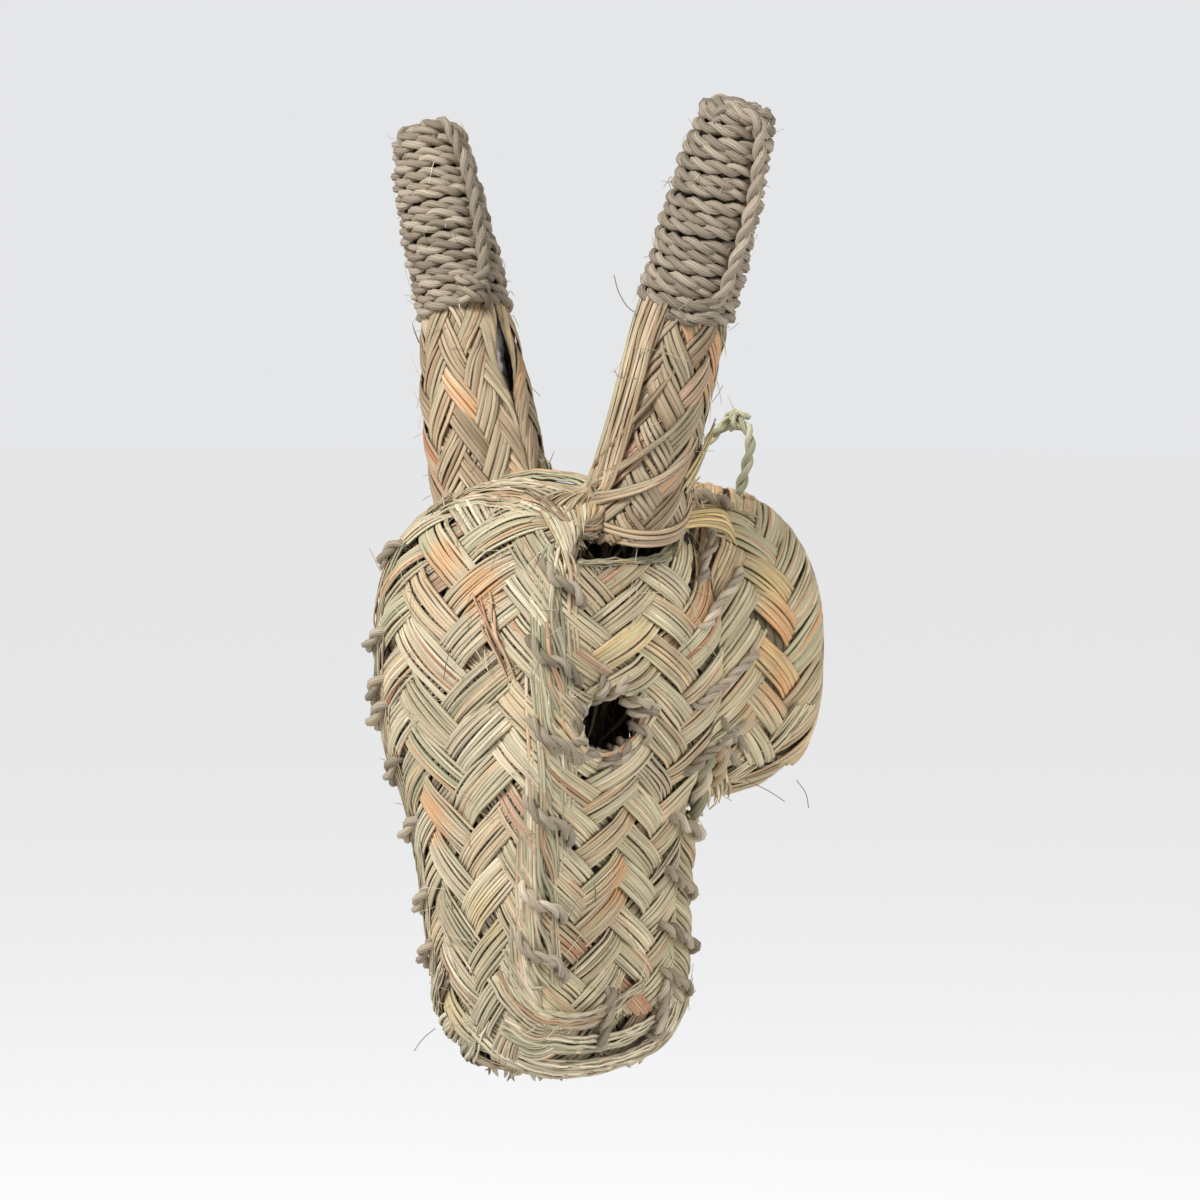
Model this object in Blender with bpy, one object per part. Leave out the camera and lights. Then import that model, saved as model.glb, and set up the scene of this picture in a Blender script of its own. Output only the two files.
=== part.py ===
"""Woven grass animal head, a wall trophy: plaited bands sewn into a hollow head, with two cord-wound horns.

Metres, +Z up. The face looks towards -Y and the wall is the plane Y = 0. The origin is the point where the
hanging nail meets the wall. The head is laid out from the middle of its neck collar, which an empty places.
"""

import math

import bmesh
import bpy
import numpy as np
from mathutils import Vector

# Driving dimensions
MM = 0.001
NAIL_POINT = Vector((30, 0, 100)) * MM  # from the collar's middle, on the wall
BAND = 5.0  # thickness of a plaited band, mm
GAP = 0.5  # clearance between neighbouring pieces, mm
COLLAR_WIDTH = 77.0  # half the collar's width at the wall, mm
COLLAR_HEIGHT = 73.5  # half its height there
COLLAR_DROP = -2.0  # its middle's height
COLLAR_FRONT = 0.905  # width of its front edge as a share of the rim's
COLLAR_CURVE = 1.6  # how late it narrows
COLLAR_DEPTH = 62.0
COLLAR_SQUARENESS = 2.3  # exponent of the collar's outline, 2 is a circle
JAW_SQUARENESS = 3.2
EYE_CENTRE = (-130.5, -32.0)  # Y and Z, mm
EYE_RADII = (17.5, 14.0)  # along Y and Z, mm
CORD_RADIUS = 2.6  # sewing cord, mm
LOOP_DIAMETER = 5.5
WINDING_TURNS = 16
LACING_LIFT = CORD_RADIUS + 0.6  # a lacing's middle above the bands it sews, mm
EYE_CORD_RADIUS = 3.4  # the whipping round the eye, mm
EYE_RIM = 1.5  # the whipping's middle outside the hole's edge, mm
EYE_CORD_GAP = 0.9  # clearance between the whipping and the cheek, mm
EYE_CUT = (40.0, 90.0)  # X between which the eye is cut, mm
SEAM_GAP = 0.9  # clearance of a seam's cord beside the collar's front edge, mm

# The face band's middle line and edges, from behind the muzzle, under it, up the face and over the crown.
# Each row: Y and Z of the middle, half width, the edge's offset in Y and Z, and how square the section is.
FACE_ROWS = (
    (-43, -173.5, 35, -13, 1.0, 3.5),
    (-46.5, -184, 35, -12, 13, 3.5),
    (-59, -194.5, 35, -4, 23.5, 4.0),
    (-80, -198, 35, 0, 27, 4.0),
    (-102, -199, 35, 0, 28, 4.0),
    (-124, -197, 35, 1, 26, 4.0),
    (-142, -190, 35, 4, 19, 4.0),
    (-153, -177, 35, 8, 6.5, 3.0),
    (-157, -160, 34.5, 9, 0, 3.0),
    (-158.5, -141, 34.5, 9, 0, 3.0),
    (-160, -110, 38, 9, 0, 3.0),
    (-163, -75, 45, 9, 0, 3.0),
    (-169, -45, 53, 9, 0, 3.0),
    (-171.5, -15, 56, 9, 0, 3.0),
    (-171, 10, 56.5, 9, 0, 3.0),
    (-166.5, 34, 56, 9, -2, 3.0),
    (-158.5, 51, 55, 8, -5, 2.6),
    (-149, 62, 53.5, 6, -7, 2.3),
    (-134, 69.5, 51, 3, -8, 2.2),
    (-106, 73, 48, 1, -9, 2.0),
    (-64, 71, 45.5, 0, -10, 2.2),
)
# The right cheek band from the muzzle up.
# Each row: height, then X and Y of its front edge, middle and back edge.
CHEEK_ROWS = (
    (-168, 36, -136.5, 39.5, -100, 37.5, -63.5),
    (-141, 35, -144, 40.5, -102, 39, -63.5),
    (-110, 38, -145.6, 44, -104, 41.5, -64),
    (-75, 45, -148.4, 51.5, -107, 48.5, -66),
    (-50, 51.5, -153.2, 61, -109, 59, -63.8),
    (-25, 54.5, -156.2, 66.5, -110, 67.5, -63.8),
    (0, 55.5, -156.4, 68, -109, 69, -63.8),
    (20, 55.5, -154.6, 66, -107, 67, -63.8),
    (40, 54.5, -145, 62, -104, 60, -63.8),
)
# The jaw band from the collar down. Each row: height, half width, Y of the edge, Y of the middle.
JAW_ROWS = (
    (-79, 47, -62, -47),
    (-110, 41, -62, -42),
    (-141, 38.5, -62, -40.5),
    (-167, 37, -62, -41),
)
# The right horn's middle line from its base to its tip. Each row: X, Y, Z.
HORN_AXIS = (
    (38, -97, 44),
    (49, -95, 76),
    (60, -93, 113),
    (69, -90.5, 148),
    (76.5, -89.5, 172),
    (87, -89, 203),
    (96, -87.5, 232),
    (100, -87, 244),
)
# The horn's sleeve is oval: its outer radii the long way and the short way, at heights.
SLEEVE_LONG = ((50, 28.5), (70, 28), (91, 27), (119, 25.5), (147, 21.5), (152, 15.5), (235, 11.5))
SLEEVE_SHORT = ((50, 23.5), (70, 22), (91, 20.5), (119, 20), (147, 19.5), (152, 15.5), (235, 11.5))
SLEEVE_LONG_WAY = math.radians(137)  # where the sleeve is widest, from +X towards +Y
SLEEVE_HEIGHTS = (50, 62, 74, 86, 98, 113, 126, 140, 147, 152, 175, 195, 215, 235)
CORE_HEIGHTS = (56, 80, 113, 140, 147, 152, 195, 231)
HORN_BASE = 71.0  # where the horn meets the crown
SLEEVE_WALL = 4.0
CORE_GAP = 1.0
WINDING_RADII = ((153, 22.5), (180, 22), (203, 21), (225, 19.5), (240, 17))
WINDING_START = 153.0
WINDING_TOP = 240.0
WINDING_GAP = 0.7
WINDING_GROOVE = 0.3  # depth of the groove between two turns as a share of the cord
TIP_HEIGHT = 6.0
TIP_RADIUS = 15.0
TIP_TOP_RADIUS = 2.0
HORN_LACING_HEIGHTS = (160.0, 236.0)  # where the cord up the winding starts and ends
HORN_LACING_TURNS = (math.radians(-17), math.radians(-5))  # its angles there, from +X towards +Y
HORN_BASE_TURNS = (math.radians(128), math.radians(240))  # the sewn part of the way round the horn's base
HORN_BASE_REACH = CORD_RADIUS + 2.4  # the base lacing's middle outside the sleeve, mm
CROWN_SPAN = (0.775, 1.0)  # the face band's share, as u, that is the crown
CROWN_SPREAD = 1.03
CROWN_CLEARANCE = 0.9
CROWN_DEPTH = 26.0
CROWN_SEAM_TURN = math.radians(27)  # how far each side of straight up the crown is sewn to the collar
# The shares of a band, as u or v, that each seam's cord runs along.
RIDGE_SPAN = (0.41, 0.735)
JAW_SEAM_SPAN = (0.06, 0.96)
COLLAR_SEAM_SPAN = (0.48, 0.92)
MUZZLE_SEAM_SPAN = (-0.95, 0.90)
# How far each seam's cord stands off the bands beyond the lacing's lift, mm.
RIDGE_EXTRA = 0.6
JAW_EXTRA = 2.2
COLLAR_EXTRA = 1.0
MUZZLE_EXTRA = 0.3
MUZZLE_DROP = 1.8
CROWN_EXTRA = 3.4
HORN_BASE_EXTRA = 0.4
RIDGE_OUT = Vector((0.75, -0.65, 0)).normalized()  # the way out of the corner of face and cheek
JAW_OUT = Vector((0.85, 0.5, 0)).normalized()  # the way out of the corner of cheek and jaw
# The hanging loop, foot to foot over the nail, from the collar's middle in mm.
LOOP_POINTS = (
    (37, -15, 68.8),
    (39, -14, 76),
    (40.5, -12.5, 84),
    (40.5, -10.5, 92),
    (37, -8.5, 99.5),
    (30, -7, 103),
    (22.5, -8, 101),
    (16, -10, 95.5),
    (9, -12, 88.5),
    (1, -13.5, 82),
    (-9.5, -15, 75),
)

STRAW = (0.52, 0.46, 0.29)
HORN_STRAW = (0.50, 0.39, 0.23)
GREY_CORD = (0.33, 0.29, 0.23)
GREEN_CORD = (0.42, 0.46, 0.30)
STUFFING = (0.55, 0.55, 0.58)
STRAW_ROUGHNESS = 0.8
CORD_ROUGHNESS = 0.85
STUFFING_ROUGHNESS = 0.35

# Fineness
SMOOTH_ANGLE = math.radians(40)
SURFACE_STEP = 1e-3  # in u and v, for finding normals
AXIS_STEP = 0.02
BISECTIONS = 40
BAND_ACROSS = 8
FACE_ALONG = 57
JAW_ALONG = 9
CHEEK_ALONG = 20
CROWN_ALONG = 13
COLLAR_AROUND = 48
COLLAR_ROWS = 4
SLEEVE_SIDES = 20
CORE_SIDES = 12
WINDING_SIDES = 18
STEPS_PER_TURN = 2
TIP_SIDES = 14
TIP_STEPS = 4
EYE_SIDES = 20
EYE_CORD_STEPS = 18
LOOP_STEPS = 24


def clear_scene():
    for thing in list(bpy.data.objects):
        bpy.data.objects.remove(thing)


def smooth_rows(rows, u):
    """A point at u, from 0 to 1, on a Catmull-Rom curve through the rows."""
    table = np.array(rows, float)
    place = min(max(u, 0.0), 1.0) * (len(table) - 1)
    i = min(int(place), len(table) - 2)
    t = place - i
    before = table[i - 1] if i > 0 else 2 * table[0] - table[1]
    after = table[i + 2] if i + 2 < len(table) else 2 * table[-1] - table[-2]
    first, second = table[i], table[i + 1]
    return 0.5 * (
        2 * first
        + (second - before) * t
        + (2 * before - 5 * first + 4 * second - after) * t * t
        + (3 * first - before - 3 * second + after) * t**3
    )


def face_point(u, v):
    """The face band's outer surface: u runs along it and v across it, from -1 to 1."""
    y, z, half, edge_y, edge_z, square = smooth_rows(FACE_ROWS, u)
    bend = abs(v) ** square
    return Vector((half * v, y + edge_y * bend, z + edge_z * bend))


def cheek_point(u, v):
    """The right cheek band's outer surface: u runs up it and v from its front edge to its back edge."""
    z, front_x, front_y, mid_x, mid_y, back_x, back_y = smooth_rows(CHEEK_ROWS, u)
    ahead, middle, behind = v * (v - 1) / 2, 1 - v * v, v * (v + 1) / 2
    x = front_x * ahead + mid_x * middle + back_x * behind
    y = front_y * ahead + mid_y * middle + back_y * behind
    return Vector((x, y, z))


def jaw_point(u, v):
    """The jaw band's outer surface, which faces the wall: u runs down it and v from left to right."""
    z, half, edge_y, mid_y = smooth_rows(JAW_ROWS, u)
    turn = max(min(v, 1.0), -1.0) * math.pi / 2
    power = 2.0 / JAW_SQUARENESS
    x = math.copysign(abs(math.sin(turn)) ** power, turn) * half
    y = mid_y + (edge_y - mid_y) * (1 - abs(math.cos(turn)) ** power)
    return Vector((x, y - max(abs(v) - 1, 0) * half, z))


def collar_point(angle, y, inset=0.0):
    """A point on the collar's outline at an angle from straight up, inset from its outer surface."""
    c, s = math.cos(angle), math.sin(angle)
    power = 2.0 / COLLAR_SQUARENESS
    narrow = 1 - (1 - COLLAR_FRONT) * min(-y / COLLAR_DEPTH, 1.0) ** COLLAR_CURVE
    x = math.copysign(abs(s) ** power, s) * (COLLAR_WIDTH * narrow - inset)
    z = math.copysign(abs(c) ** power, c) * (COLLAR_HEIGHT * (1 + narrow) / 2 - inset)
    return Vector((x, y, z + COLLAR_DROP))


def profile(table, height):
    heights = [row[0] for row in table]
    radii = [row[1] for row in table]
    return float(np.interp(height, heights, radii))


def horn_axis(height):
    """The right horn's middle line at a height: place and direction."""
    low, high = 0.0, 1.0
    for _ in range(BISECTIONS):
        middle = (low + high) / 2
        if smooth_rows(HORN_AXIS, middle)[2] < height:
            low = middle
        else:
            high = middle
    place = Vector(smooth_rows(HORN_AXIS, low))
    ahead = Vector(smooth_rows(HORN_AXIS, min(low + AXIS_STEP, 1)))
    behind = Vector(smooth_rows(HORN_AXIS, max(low - AXIS_STEP, 0)))
    return place, (ahead - behind).normalized()


def evenly(span, steps):
    """Values from one end of the span to the other."""
    return [span[0] + (span[1] - span[0]) * i / steps for i in range(steps + 1)]


def make_material(name, colour, roughness=STRAW_ROUGHNESS):
    material = bpy.data.materials.new(name)
    material.use_nodes = True
    shader = material.node_tree.nodes["Principled BSDF"]
    shader.inputs["Base Color"].default_value = (*colour, 1)
    shader.inputs["Roughness"].default_value = roughness
    shader.inputs["Metallic"].default_value = 0
    return material


def make_object(name, mesh_data, colour, base, roughness=STRAW_ROUGHNESS):
    """Turns a bmesh in mm into a named object in metres under the collar's empty."""
    bmesh.ops.recalc_face_normals(mesh_data, faces=mesh_data.faces)
    bmesh.ops.scale(mesh_data, vec=(MM, MM, MM), verts=mesh_data.verts)
    mesh = bpy.data.meshes.new(name)
    mesh_data.to_mesh(mesh)
    mesh_data.free()
    mesh.shade_smooth()
    mesh.set_sharp_from_angle(angle=SMOOTH_ANGLE)
    thing = bpy.data.objects.new(name, mesh)
    thing.data.materials.append(make_material(name, colour, roughness))
    thing.parent = base
    bpy.context.scene.collection.objects.link(thing)
    return thing


def shell(point, along, across, thickness=BAND, ends=(0.0, 1.0)):
    """A closed band: the surface that point(u, v) gives, thickened inwards along its normals."""
    shape = bmesh.new()
    outer, inner = [], []
    for u in evenly(ends, along):
        for v in evenly((-1, 1), across):
            outer.append(shape.verts.new(point(u, v)))
            inner.append(shape.verts.new(lifted(point, u, v, -thickness)))
    width = across + 1
    for i in range(along):
        for j in range(across):
            corners = (i * width + j, i * width + j + 1, (i + 1) * width + j + 1, (i + 1) * width + j)
            shape.faces.new([outer[c] for c in corners])
            shape.faces.new([inner[c] for c in reversed(corners)])
    rim = [j for j in range(width)]
    rim += [i * width + across for i in range(1, along + 1)]
    rim += [along * width + j for j in range(across - 1, -1, -1)]
    rim += [i * width for i in range(along - 1, 0, -1)]
    for a, b in zip(rim, rim[1:] + rim[:1], strict=True):
        shape.faces.new((outer[b], outer[a], inner[a], inner[b]))
    return shape


def tube(points, radius, sides=6, closed=False):
    """A round tube in mm along the points, with flat ends, or a ring where it is closed."""
    shape = bmesh.new()
    count = len(points)
    rings = []
    up = None
    for i, place in enumerate(points):
        ahead = points[(i + 1) % count] if closed else points[min(i + 1, count - 1)]
        behind = points[i - 1] if closed else points[max(i - 1, 0)]
        way = (ahead - behind).normalized()
        if up is None:
            up = way.orthogonal().normalized()
        up = (up - way * up.dot(way)).normalized()
        side = way.cross(up)
        ring = []
        for k in range(sides):
            turn = 2 * math.pi * k / sides
            ring.append(shape.verts.new(place + (up * math.cos(turn) + side * math.sin(turn)) * radius))
        rings.append(ring)
    pairs = list(zip(rings, rings[1:], strict=False))
    if closed:
        pairs.append((rings[-1], rings[0]))
    for first, second in pairs:
        for k in range(sides):
            shape.faces.new((first[k], first[(k + 1) % sides], second[(k + 1) % sides], second[k]))
    if not closed:
        shape.faces.new(list(reversed(rings[0])))
        shape.faces.new(rings[-1])
    return shape


def mirrored(shape):
    """The same bmesh on the left side."""
    bmesh.ops.scale(shape, vec=(-1, 1, 1), verts=shape.verts)
    return shape


def sided(make, side):
    """A piece made for the right side, or its left twin."""
    shape = make()
    return shape if side == "right" else mirrored(shape)


def lifted(point, u, v, lift):
    """A point above a band's surface."""
    step = SURFACE_STEP
    down = point(min(u + step, 1), v) - point(max(u - step, 0), v)
    side = point(u, v + step) - point(u, v - step)
    return point(u, v) + side.cross(down).normalized() * lift


def make_collar():
    shape = bmesh.new()
    around = COLLAR_AROUND
    rings = [(y, 0.0) for y in evenly((-COLLAR_DEPTH, 0.0), COLLAR_ROWS)]
    rings += [(y, BAND) for y, _ in reversed(rings)]
    loops = []
    for y, inset in rings:
        angles = [2 * math.pi * k / around for k in range(around)]
        loops.append([shape.verts.new(collar_point(angle, y, inset)) for angle in angles])
    for first, second in zip(loops, loops[1:] + loops[:1], strict=True):
        for k in range(around):
            shape.faces.new((first[k], first[(k + 1) % around], second[(k + 1) % around], second[k]))
    return shape


def turned(sections, sides):
    """A closed solid along a horn. Each section: height, then inner and outer radius for an angle."""
    shape = bmesh.new()
    solid = sections[0][1] is None
    order = [(height, outer) for height, _, outer in sections]
    if not solid:
        order += [(height, inner) for height, inner, _ in reversed(sections)]
    loops = []
    for height, radius in order:
        place, way = horn_axis(height)
        out = (Vector((1, 0, 0)) - way * way.x).normalized()
        side = way.cross(out)
        ring = []
        for k in range(sides):
            turn = 2 * math.pi * k / sides
            away = (out * math.cos(turn) + side * math.sin(turn)) * radius(turn)
            ring.append(shape.verts.new(place + away))
        loops.append(ring)
    pairs = list(zip(loops, loops[1:], strict=False))
    if not solid:
        pairs.append((loops[-1], loops[0]))
    for first, second in pairs:
        for k in range(sides):
            shape.faces.new((first[k], first[(k + 1) % sides], second[(k + 1) % sides], second[k]))
    if solid:
        shape.faces.new(list(reversed(loops[0])))
        shape.faces.new(loops[-1])
    return shape


def sleeve_radius(height, change=0.0):
    """The sleeve's outer radius at a height as a function of the angle, changed by an amount."""
    long, short = profile(SLEEVE_LONG, height), profile(SLEEVE_SHORT, height)

    def radius(turn):
        away = turn - SLEEVE_LONG_WAY
        return long * short / math.hypot(short * math.cos(away), long * math.sin(away)) + change

    return radius


def round_radius(size):
    return lambda turn: size


def sleeve_sections():
    return [
        (height, sleeve_radius(height, -SLEEVE_WALL), sleeve_radius(height)) for height in SLEEVE_HEIGHTS
    ]


def core_sections():
    return [(height, None, sleeve_radius(height, -SLEEVE_WALL - CORE_GAP)) for height in CORE_HEIGHTS]


def winding_sections():
    """Round turns of cord, one above the other."""
    sections = []
    cord = (WINDING_TOP - WINDING_START) / WINDING_TURNS
    for i, height in enumerate(evenly((WINDING_START, WINDING_TOP), WINDING_TURNS * STEPS_PER_TURN)):
        swell = i % STEPS_PER_TURN
        inner = sleeve_radius(height, WINDING_GAP)
        outer = profile(WINDING_RADII, height) - cord * WINDING_GROOVE * (1 - swell)
        sections.append((height, inner, round_radius(outer)))
    return sections


def make_tip_coil():
    """The cord's end, coiled over the horn's open tip."""
    sections = []
    for turn in evenly((0, math.pi / 2), TIP_STEPS):
        radius = TIP_RADIUS * math.cos(turn) + TIP_TOP_RADIUS
        height = WINDING_TOP + GAP + TIP_HEIGHT * math.sin(turn)
        sections.append((height, None, round_radius(radius)))
    return turned(sections, TIP_SIDES)


def horn_lacing_points(side):
    """The cord that runs up the winding, on the +X face of both horns, as seen on the unmirrored horn."""
    points = []
    steps = 12
    for height, turn in zip(
        evenly(HORN_LACING_HEIGHTS, steps), evenly(HORN_LACING_TURNS, steps), strict=True
    ):
        place, way = horn_axis(height)
        out = (Vector((1, 0, 0)) - way * way.x).normalized()
        across = way.cross(out)
        if side == "left":
            turn = math.pi - turn
        away = out * math.cos(turn) + across * math.sin(turn)
        points.append(place + away * (profile(WINDING_RADII, height) + LACING_LIFT))
    return points


def crown_cutter(base):
    """The space under the crown's top surface, which trims the horns' sleeves."""

    def raised(u, v):
        return lifted(face_point, u, v * CROWN_SPREAD, CROWN_CLEARANCE)

    shape = shell(raised, CROWN_ALONG, BAND_ACROSS, thickness=CROWN_DEPTH, ends=CROWN_SPAN)
    cutter = make_object("crown_cutter", shape, STRAW, base)
    cutter.hide_render = True
    cutter.display_type = "WIRE"
    return cutter


def cut(thing, cutter):
    change = thing.modifiers.new("cut", "BOOLEAN")
    change.operation = "DIFFERENCE"
    change.solver = "EXACT"
    change.object = cutter


def eye_cutter(base, side):
    sign = 1 if side == "right" else -1
    points = []
    for i in range(EYE_SIDES):
        turn = 2 * math.pi * i / EYE_SIDES
        y = EYE_CENTRE[0] + EYE_RADII[0] * math.cos(turn)
        z = EYE_CENTRE[1] + EYE_RADII[1] * math.sin(turn)
        points.append((y, z))
    shape = bmesh.new()
    near = [shape.verts.new((sign * EYE_CUT[0], y, z)) for y, z in points]
    far = [shape.verts.new((sign * EYE_CUT[1], y, z)) for y, z in points]
    shape.faces.new(near)
    shape.faces.new(list(reversed(far)))
    for i in range(len(points)):
        j = (i + 1) % len(points)
        shape.faces.new((near[j], near[i], far[i], far[j]))
    cutter = make_object(f"{side}_eye_cutter", shape, STRAW, base)
    cutter.hide_render = True
    cutter.display_type = "WIRE"
    return cutter


def cheek_x(y, z):
    """The right cheek's outer surface X at a place beside the head."""
    u = float(np.interp(z, [row[0] for row in CHEEK_ROWS], np.linspace(0, 1, len(CHEEK_ROWS))))
    low, high = -1.0, 1.0
    for _ in range(BISECTIONS):
        middle = (low + high) / 2
        if cheek_point(u, middle).y < y:
            low = middle
        else:
            high = middle
    return cheek_point(u, low).x


def make_eye_binding():
    """Cord whipped round the rim of the eye hole, as a ring just outside the cheek."""
    points = []
    for i in range(EYE_CORD_STEPS):
        turn = 2 * math.pi * i / EYE_CORD_STEPS
        y = EYE_CENTRE[0] + (EYE_RADII[0] + EYE_RIM) * math.cos(turn)
        z = EYE_CENTRE[1] + (EYE_RADII[1] + EYE_RIM) * math.sin(turn)
        points.append(Vector((cheek_x(y, z) + EYE_CORD_RADIUS + EYE_CORD_GAP, y, z)))
    return tube(points, EYE_CORD_RADIUS, closed=True)


def ridge_points():
    """Along the seam of face and cheek, above the ridge's corner."""
    return [face_point(u, 1.0) + RIDGE_OUT * (LACING_LIFT + RIDGE_EXTRA) for u in evenly(RIDGE_SPAN, 18)]


def jaw_seam_points():
    """Along the seam of cheek and jaw."""
    return [jaw_point(u, 1.0) + JAW_OUT * (LACING_LIFT + JAW_EXTRA) for u in evenly(JAW_SEAM_SPAN, 10)]


def collar_half_width(z):
    """The X of the collar's front edge at a height beside its middle."""
    half_height = COLLAR_HEIGHT * (1 + COLLAR_FRONT) / 2
    share = 1 - (abs(z - COLLAR_DROP) / half_height) ** COLLAR_SQUARENESS
    return COLLAR_WIDTH * COLLAR_FRONT * share ** (1 / COLLAR_SQUARENESS)


def collar_seam_points():
    """Down the side of the head where the cheek meets the collar."""
    points = []
    for u in evenly(COLLAR_SEAM_SPAN, 14):
        edge = cheek_point(u, 1.0)
        x = max(edge.x, collar_half_width(edge.z)) + LACING_LIFT + COLLAR_EXTRA
        points.append(Vector((x, -COLLAR_DEPTH - SEAM_GAP, edge.z)))
    return points


def muzzle_seam_points():
    """Along the muzzle's lower side, where the cheek meets the folded face band."""
    points = []
    for v in evenly(MUZZLE_SEAM_SPAN, 11):
        edge = cheek_point(0.0, v)
        points.append(edge + Vector((LACING_LIFT + MUZZLE_EXTRA, 0, -MUZZLE_DROP)))
    return points


def crown_seam_points():
    """Over the top of the head where the crown meets the collar."""
    points = []
    for angle in evenly((-CROWN_SEAM_TURN, CROWN_SEAM_TURN), 12):
        place = collar_point(angle, -COLLAR_DEPTH - SEAM_GAP)
        out = Vector((place.x, 0, place.z)).normalized()
        points.append(place + out * (LACING_LIFT + CROWN_EXTRA))
    return points


def horn_base_points():
    """Round the inner half of the horn's base, where it is sewn to the crown."""
    points = []
    crown_rows = list(range(len(FACE_ROWS) - 4, len(FACE_ROWS)))
    crown_y = [FACE_ROWS[row][0] for row in crown_rows]
    place, _ = horn_axis(HORN_BASE)
    radius = sleeve_radius(HORN_BASE, HORN_BASE_REACH)
    for turn in evenly(HORN_BASE_TURNS, 10):
        x = place.x + radius(turn) * math.cos(turn)
        y = place.y + radius(turn) * math.sin(turn)
        u = float(np.interp(y, crown_y, crown_rows)) / (len(FACE_ROWS) - 1)
        half = smooth_rows(FACE_ROWS, u)[2]
        points.append(lifted(face_point, u, x / half, LACING_LIFT + HORN_BASE_EXTRA))
    return points


def make_loop(base):
    """The hanging loop: a round cord along a smooth curve through its points."""
    curve = bpy.data.curves.new("hanging_loop", "CURVE")
    curve.dimensions = "3D"
    curve.bevel_depth = LOOP_DIAMETER / 2 * MM
    curve.bevel_resolution = 2
    curve.use_fill_caps = True
    spline = curve.splines.new("POLY")
    spline.points.add(LOOP_STEPS)
    for spot, u in zip(spline.points, evenly((0, 1), LOOP_STEPS), strict=True):
        spot.co = (*(Vector(smooth_rows(LOOP_POINTS, u)) * MM), 1)
    thing = bpy.data.objects.new("hanging_loop", curve)
    curve.materials.append(make_material("hanging_loop", GREEN_CORD))
    thing.parent = base
    bpy.context.scene.collection.objects.link(thing)
    return thing


def build():
    clear_scene()
    base = bpy.data.objects.new("collar_centre", None)
    base.location = -NAIL_POINT
    bpy.context.scene.collection.objects.link(base)
    make_object("face_band", shell(face_point, FACE_ALONG, BAND_ACROSS), STRAW, base)
    make_object("jaw_band", shell(jaw_point, JAW_ALONG, BAND_ACROSS), STRAW, base)
    make_object("neck_collar", make_collar(), STRAW, base)
    make_object("crown_lacing", tube(crown_seam_points(), CORD_RADIUS), GREY_CORD, base)
    crown = crown_cutter(base)
    for side in ("left", "right"):
        cheek = sided(lambda: shell(cheek_point, CHEEK_ALONG, BAND_ACROSS), side)
        cut(make_object(f"{side}_cheek_band", cheek, STRAW, base), eye_cutter(base, side))
        sleeve = sided(lambda: turned(sleeve_sections(), SLEEVE_SIDES), side)
        cut(make_object(f"{side}_horn_sleeve", sleeve, HORN_STRAW, base), crown)
        core = sided(lambda: turned(core_sections(), CORE_SIDES), side)
        cut(make_object(f"{side}_horn_core", core, STUFFING, base, STUFFING_ROUGHNESS), crown)
        winding = sided(lambda: turned(winding_sections(), WINDING_SIDES), side)
        make_object(f"{side}_horn_winding", winding, GREY_CORD, base, CORD_ROUGHNESS)
        coil = sided(make_tip_coil, side)
        make_object(f"{side}_horn_tip_coil", coil, GREY_CORD, base, CORD_ROUGHNESS)
        binding = sided(make_eye_binding, side)
        make_object(f"{side}_eye_binding", binding, GREY_CORD, base, CORD_ROUGHNESS)
        cords = (
            ("horn_lacing", horn_lacing_points(side)),
            ("horn_base_lacing", horn_base_points()),
            ("ridge_lacing", ridge_points()),
            ("jaw_lacing", jaw_seam_points()),
            ("collar_lacing", collar_seam_points()),
            ("muzzle_lacing", muzzle_seam_points()),
        )
        for name, points in cords:
            cord = sided(lambda points=points: tube(points, CORD_RADIUS), side)
            make_object(f"{side}_{name}", cord, GREY_CORD, base, CORD_ROUGHNESS)
    make_loop(base)


build()
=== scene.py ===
"""The looks of the woven grass animal head: plaited bands of flat blades, two-ply cord, horns and loop.

Shapes are worked out in millimetres from the middle of the neck collar, with the wall plane at Y = 0, and
placed in the frame from the collar's own box. Colours are given from 0 to 255, each with its weight.
"""

import math

import bpy
import numpy as np
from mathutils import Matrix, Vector


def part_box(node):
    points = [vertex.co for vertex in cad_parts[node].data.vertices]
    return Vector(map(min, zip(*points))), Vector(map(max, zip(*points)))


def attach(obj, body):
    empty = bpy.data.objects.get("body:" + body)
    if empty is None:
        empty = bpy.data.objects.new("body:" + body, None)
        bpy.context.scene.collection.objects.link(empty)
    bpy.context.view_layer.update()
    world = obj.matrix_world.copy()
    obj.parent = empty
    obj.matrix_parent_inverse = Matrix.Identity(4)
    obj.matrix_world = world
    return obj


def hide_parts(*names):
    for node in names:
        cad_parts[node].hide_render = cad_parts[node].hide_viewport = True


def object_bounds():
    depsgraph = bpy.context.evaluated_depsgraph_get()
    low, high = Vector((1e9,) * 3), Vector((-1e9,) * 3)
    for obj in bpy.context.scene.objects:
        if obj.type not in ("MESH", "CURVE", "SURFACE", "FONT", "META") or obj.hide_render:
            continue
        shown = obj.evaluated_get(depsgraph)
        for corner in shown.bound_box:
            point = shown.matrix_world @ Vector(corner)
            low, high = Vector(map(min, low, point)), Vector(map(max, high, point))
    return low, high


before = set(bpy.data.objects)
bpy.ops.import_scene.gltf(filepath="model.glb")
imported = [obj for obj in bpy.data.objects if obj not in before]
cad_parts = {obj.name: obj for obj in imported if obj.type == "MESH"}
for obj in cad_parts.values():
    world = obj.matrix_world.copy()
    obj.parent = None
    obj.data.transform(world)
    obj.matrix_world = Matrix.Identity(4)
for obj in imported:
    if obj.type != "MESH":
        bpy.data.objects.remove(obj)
cad_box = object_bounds()

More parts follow.
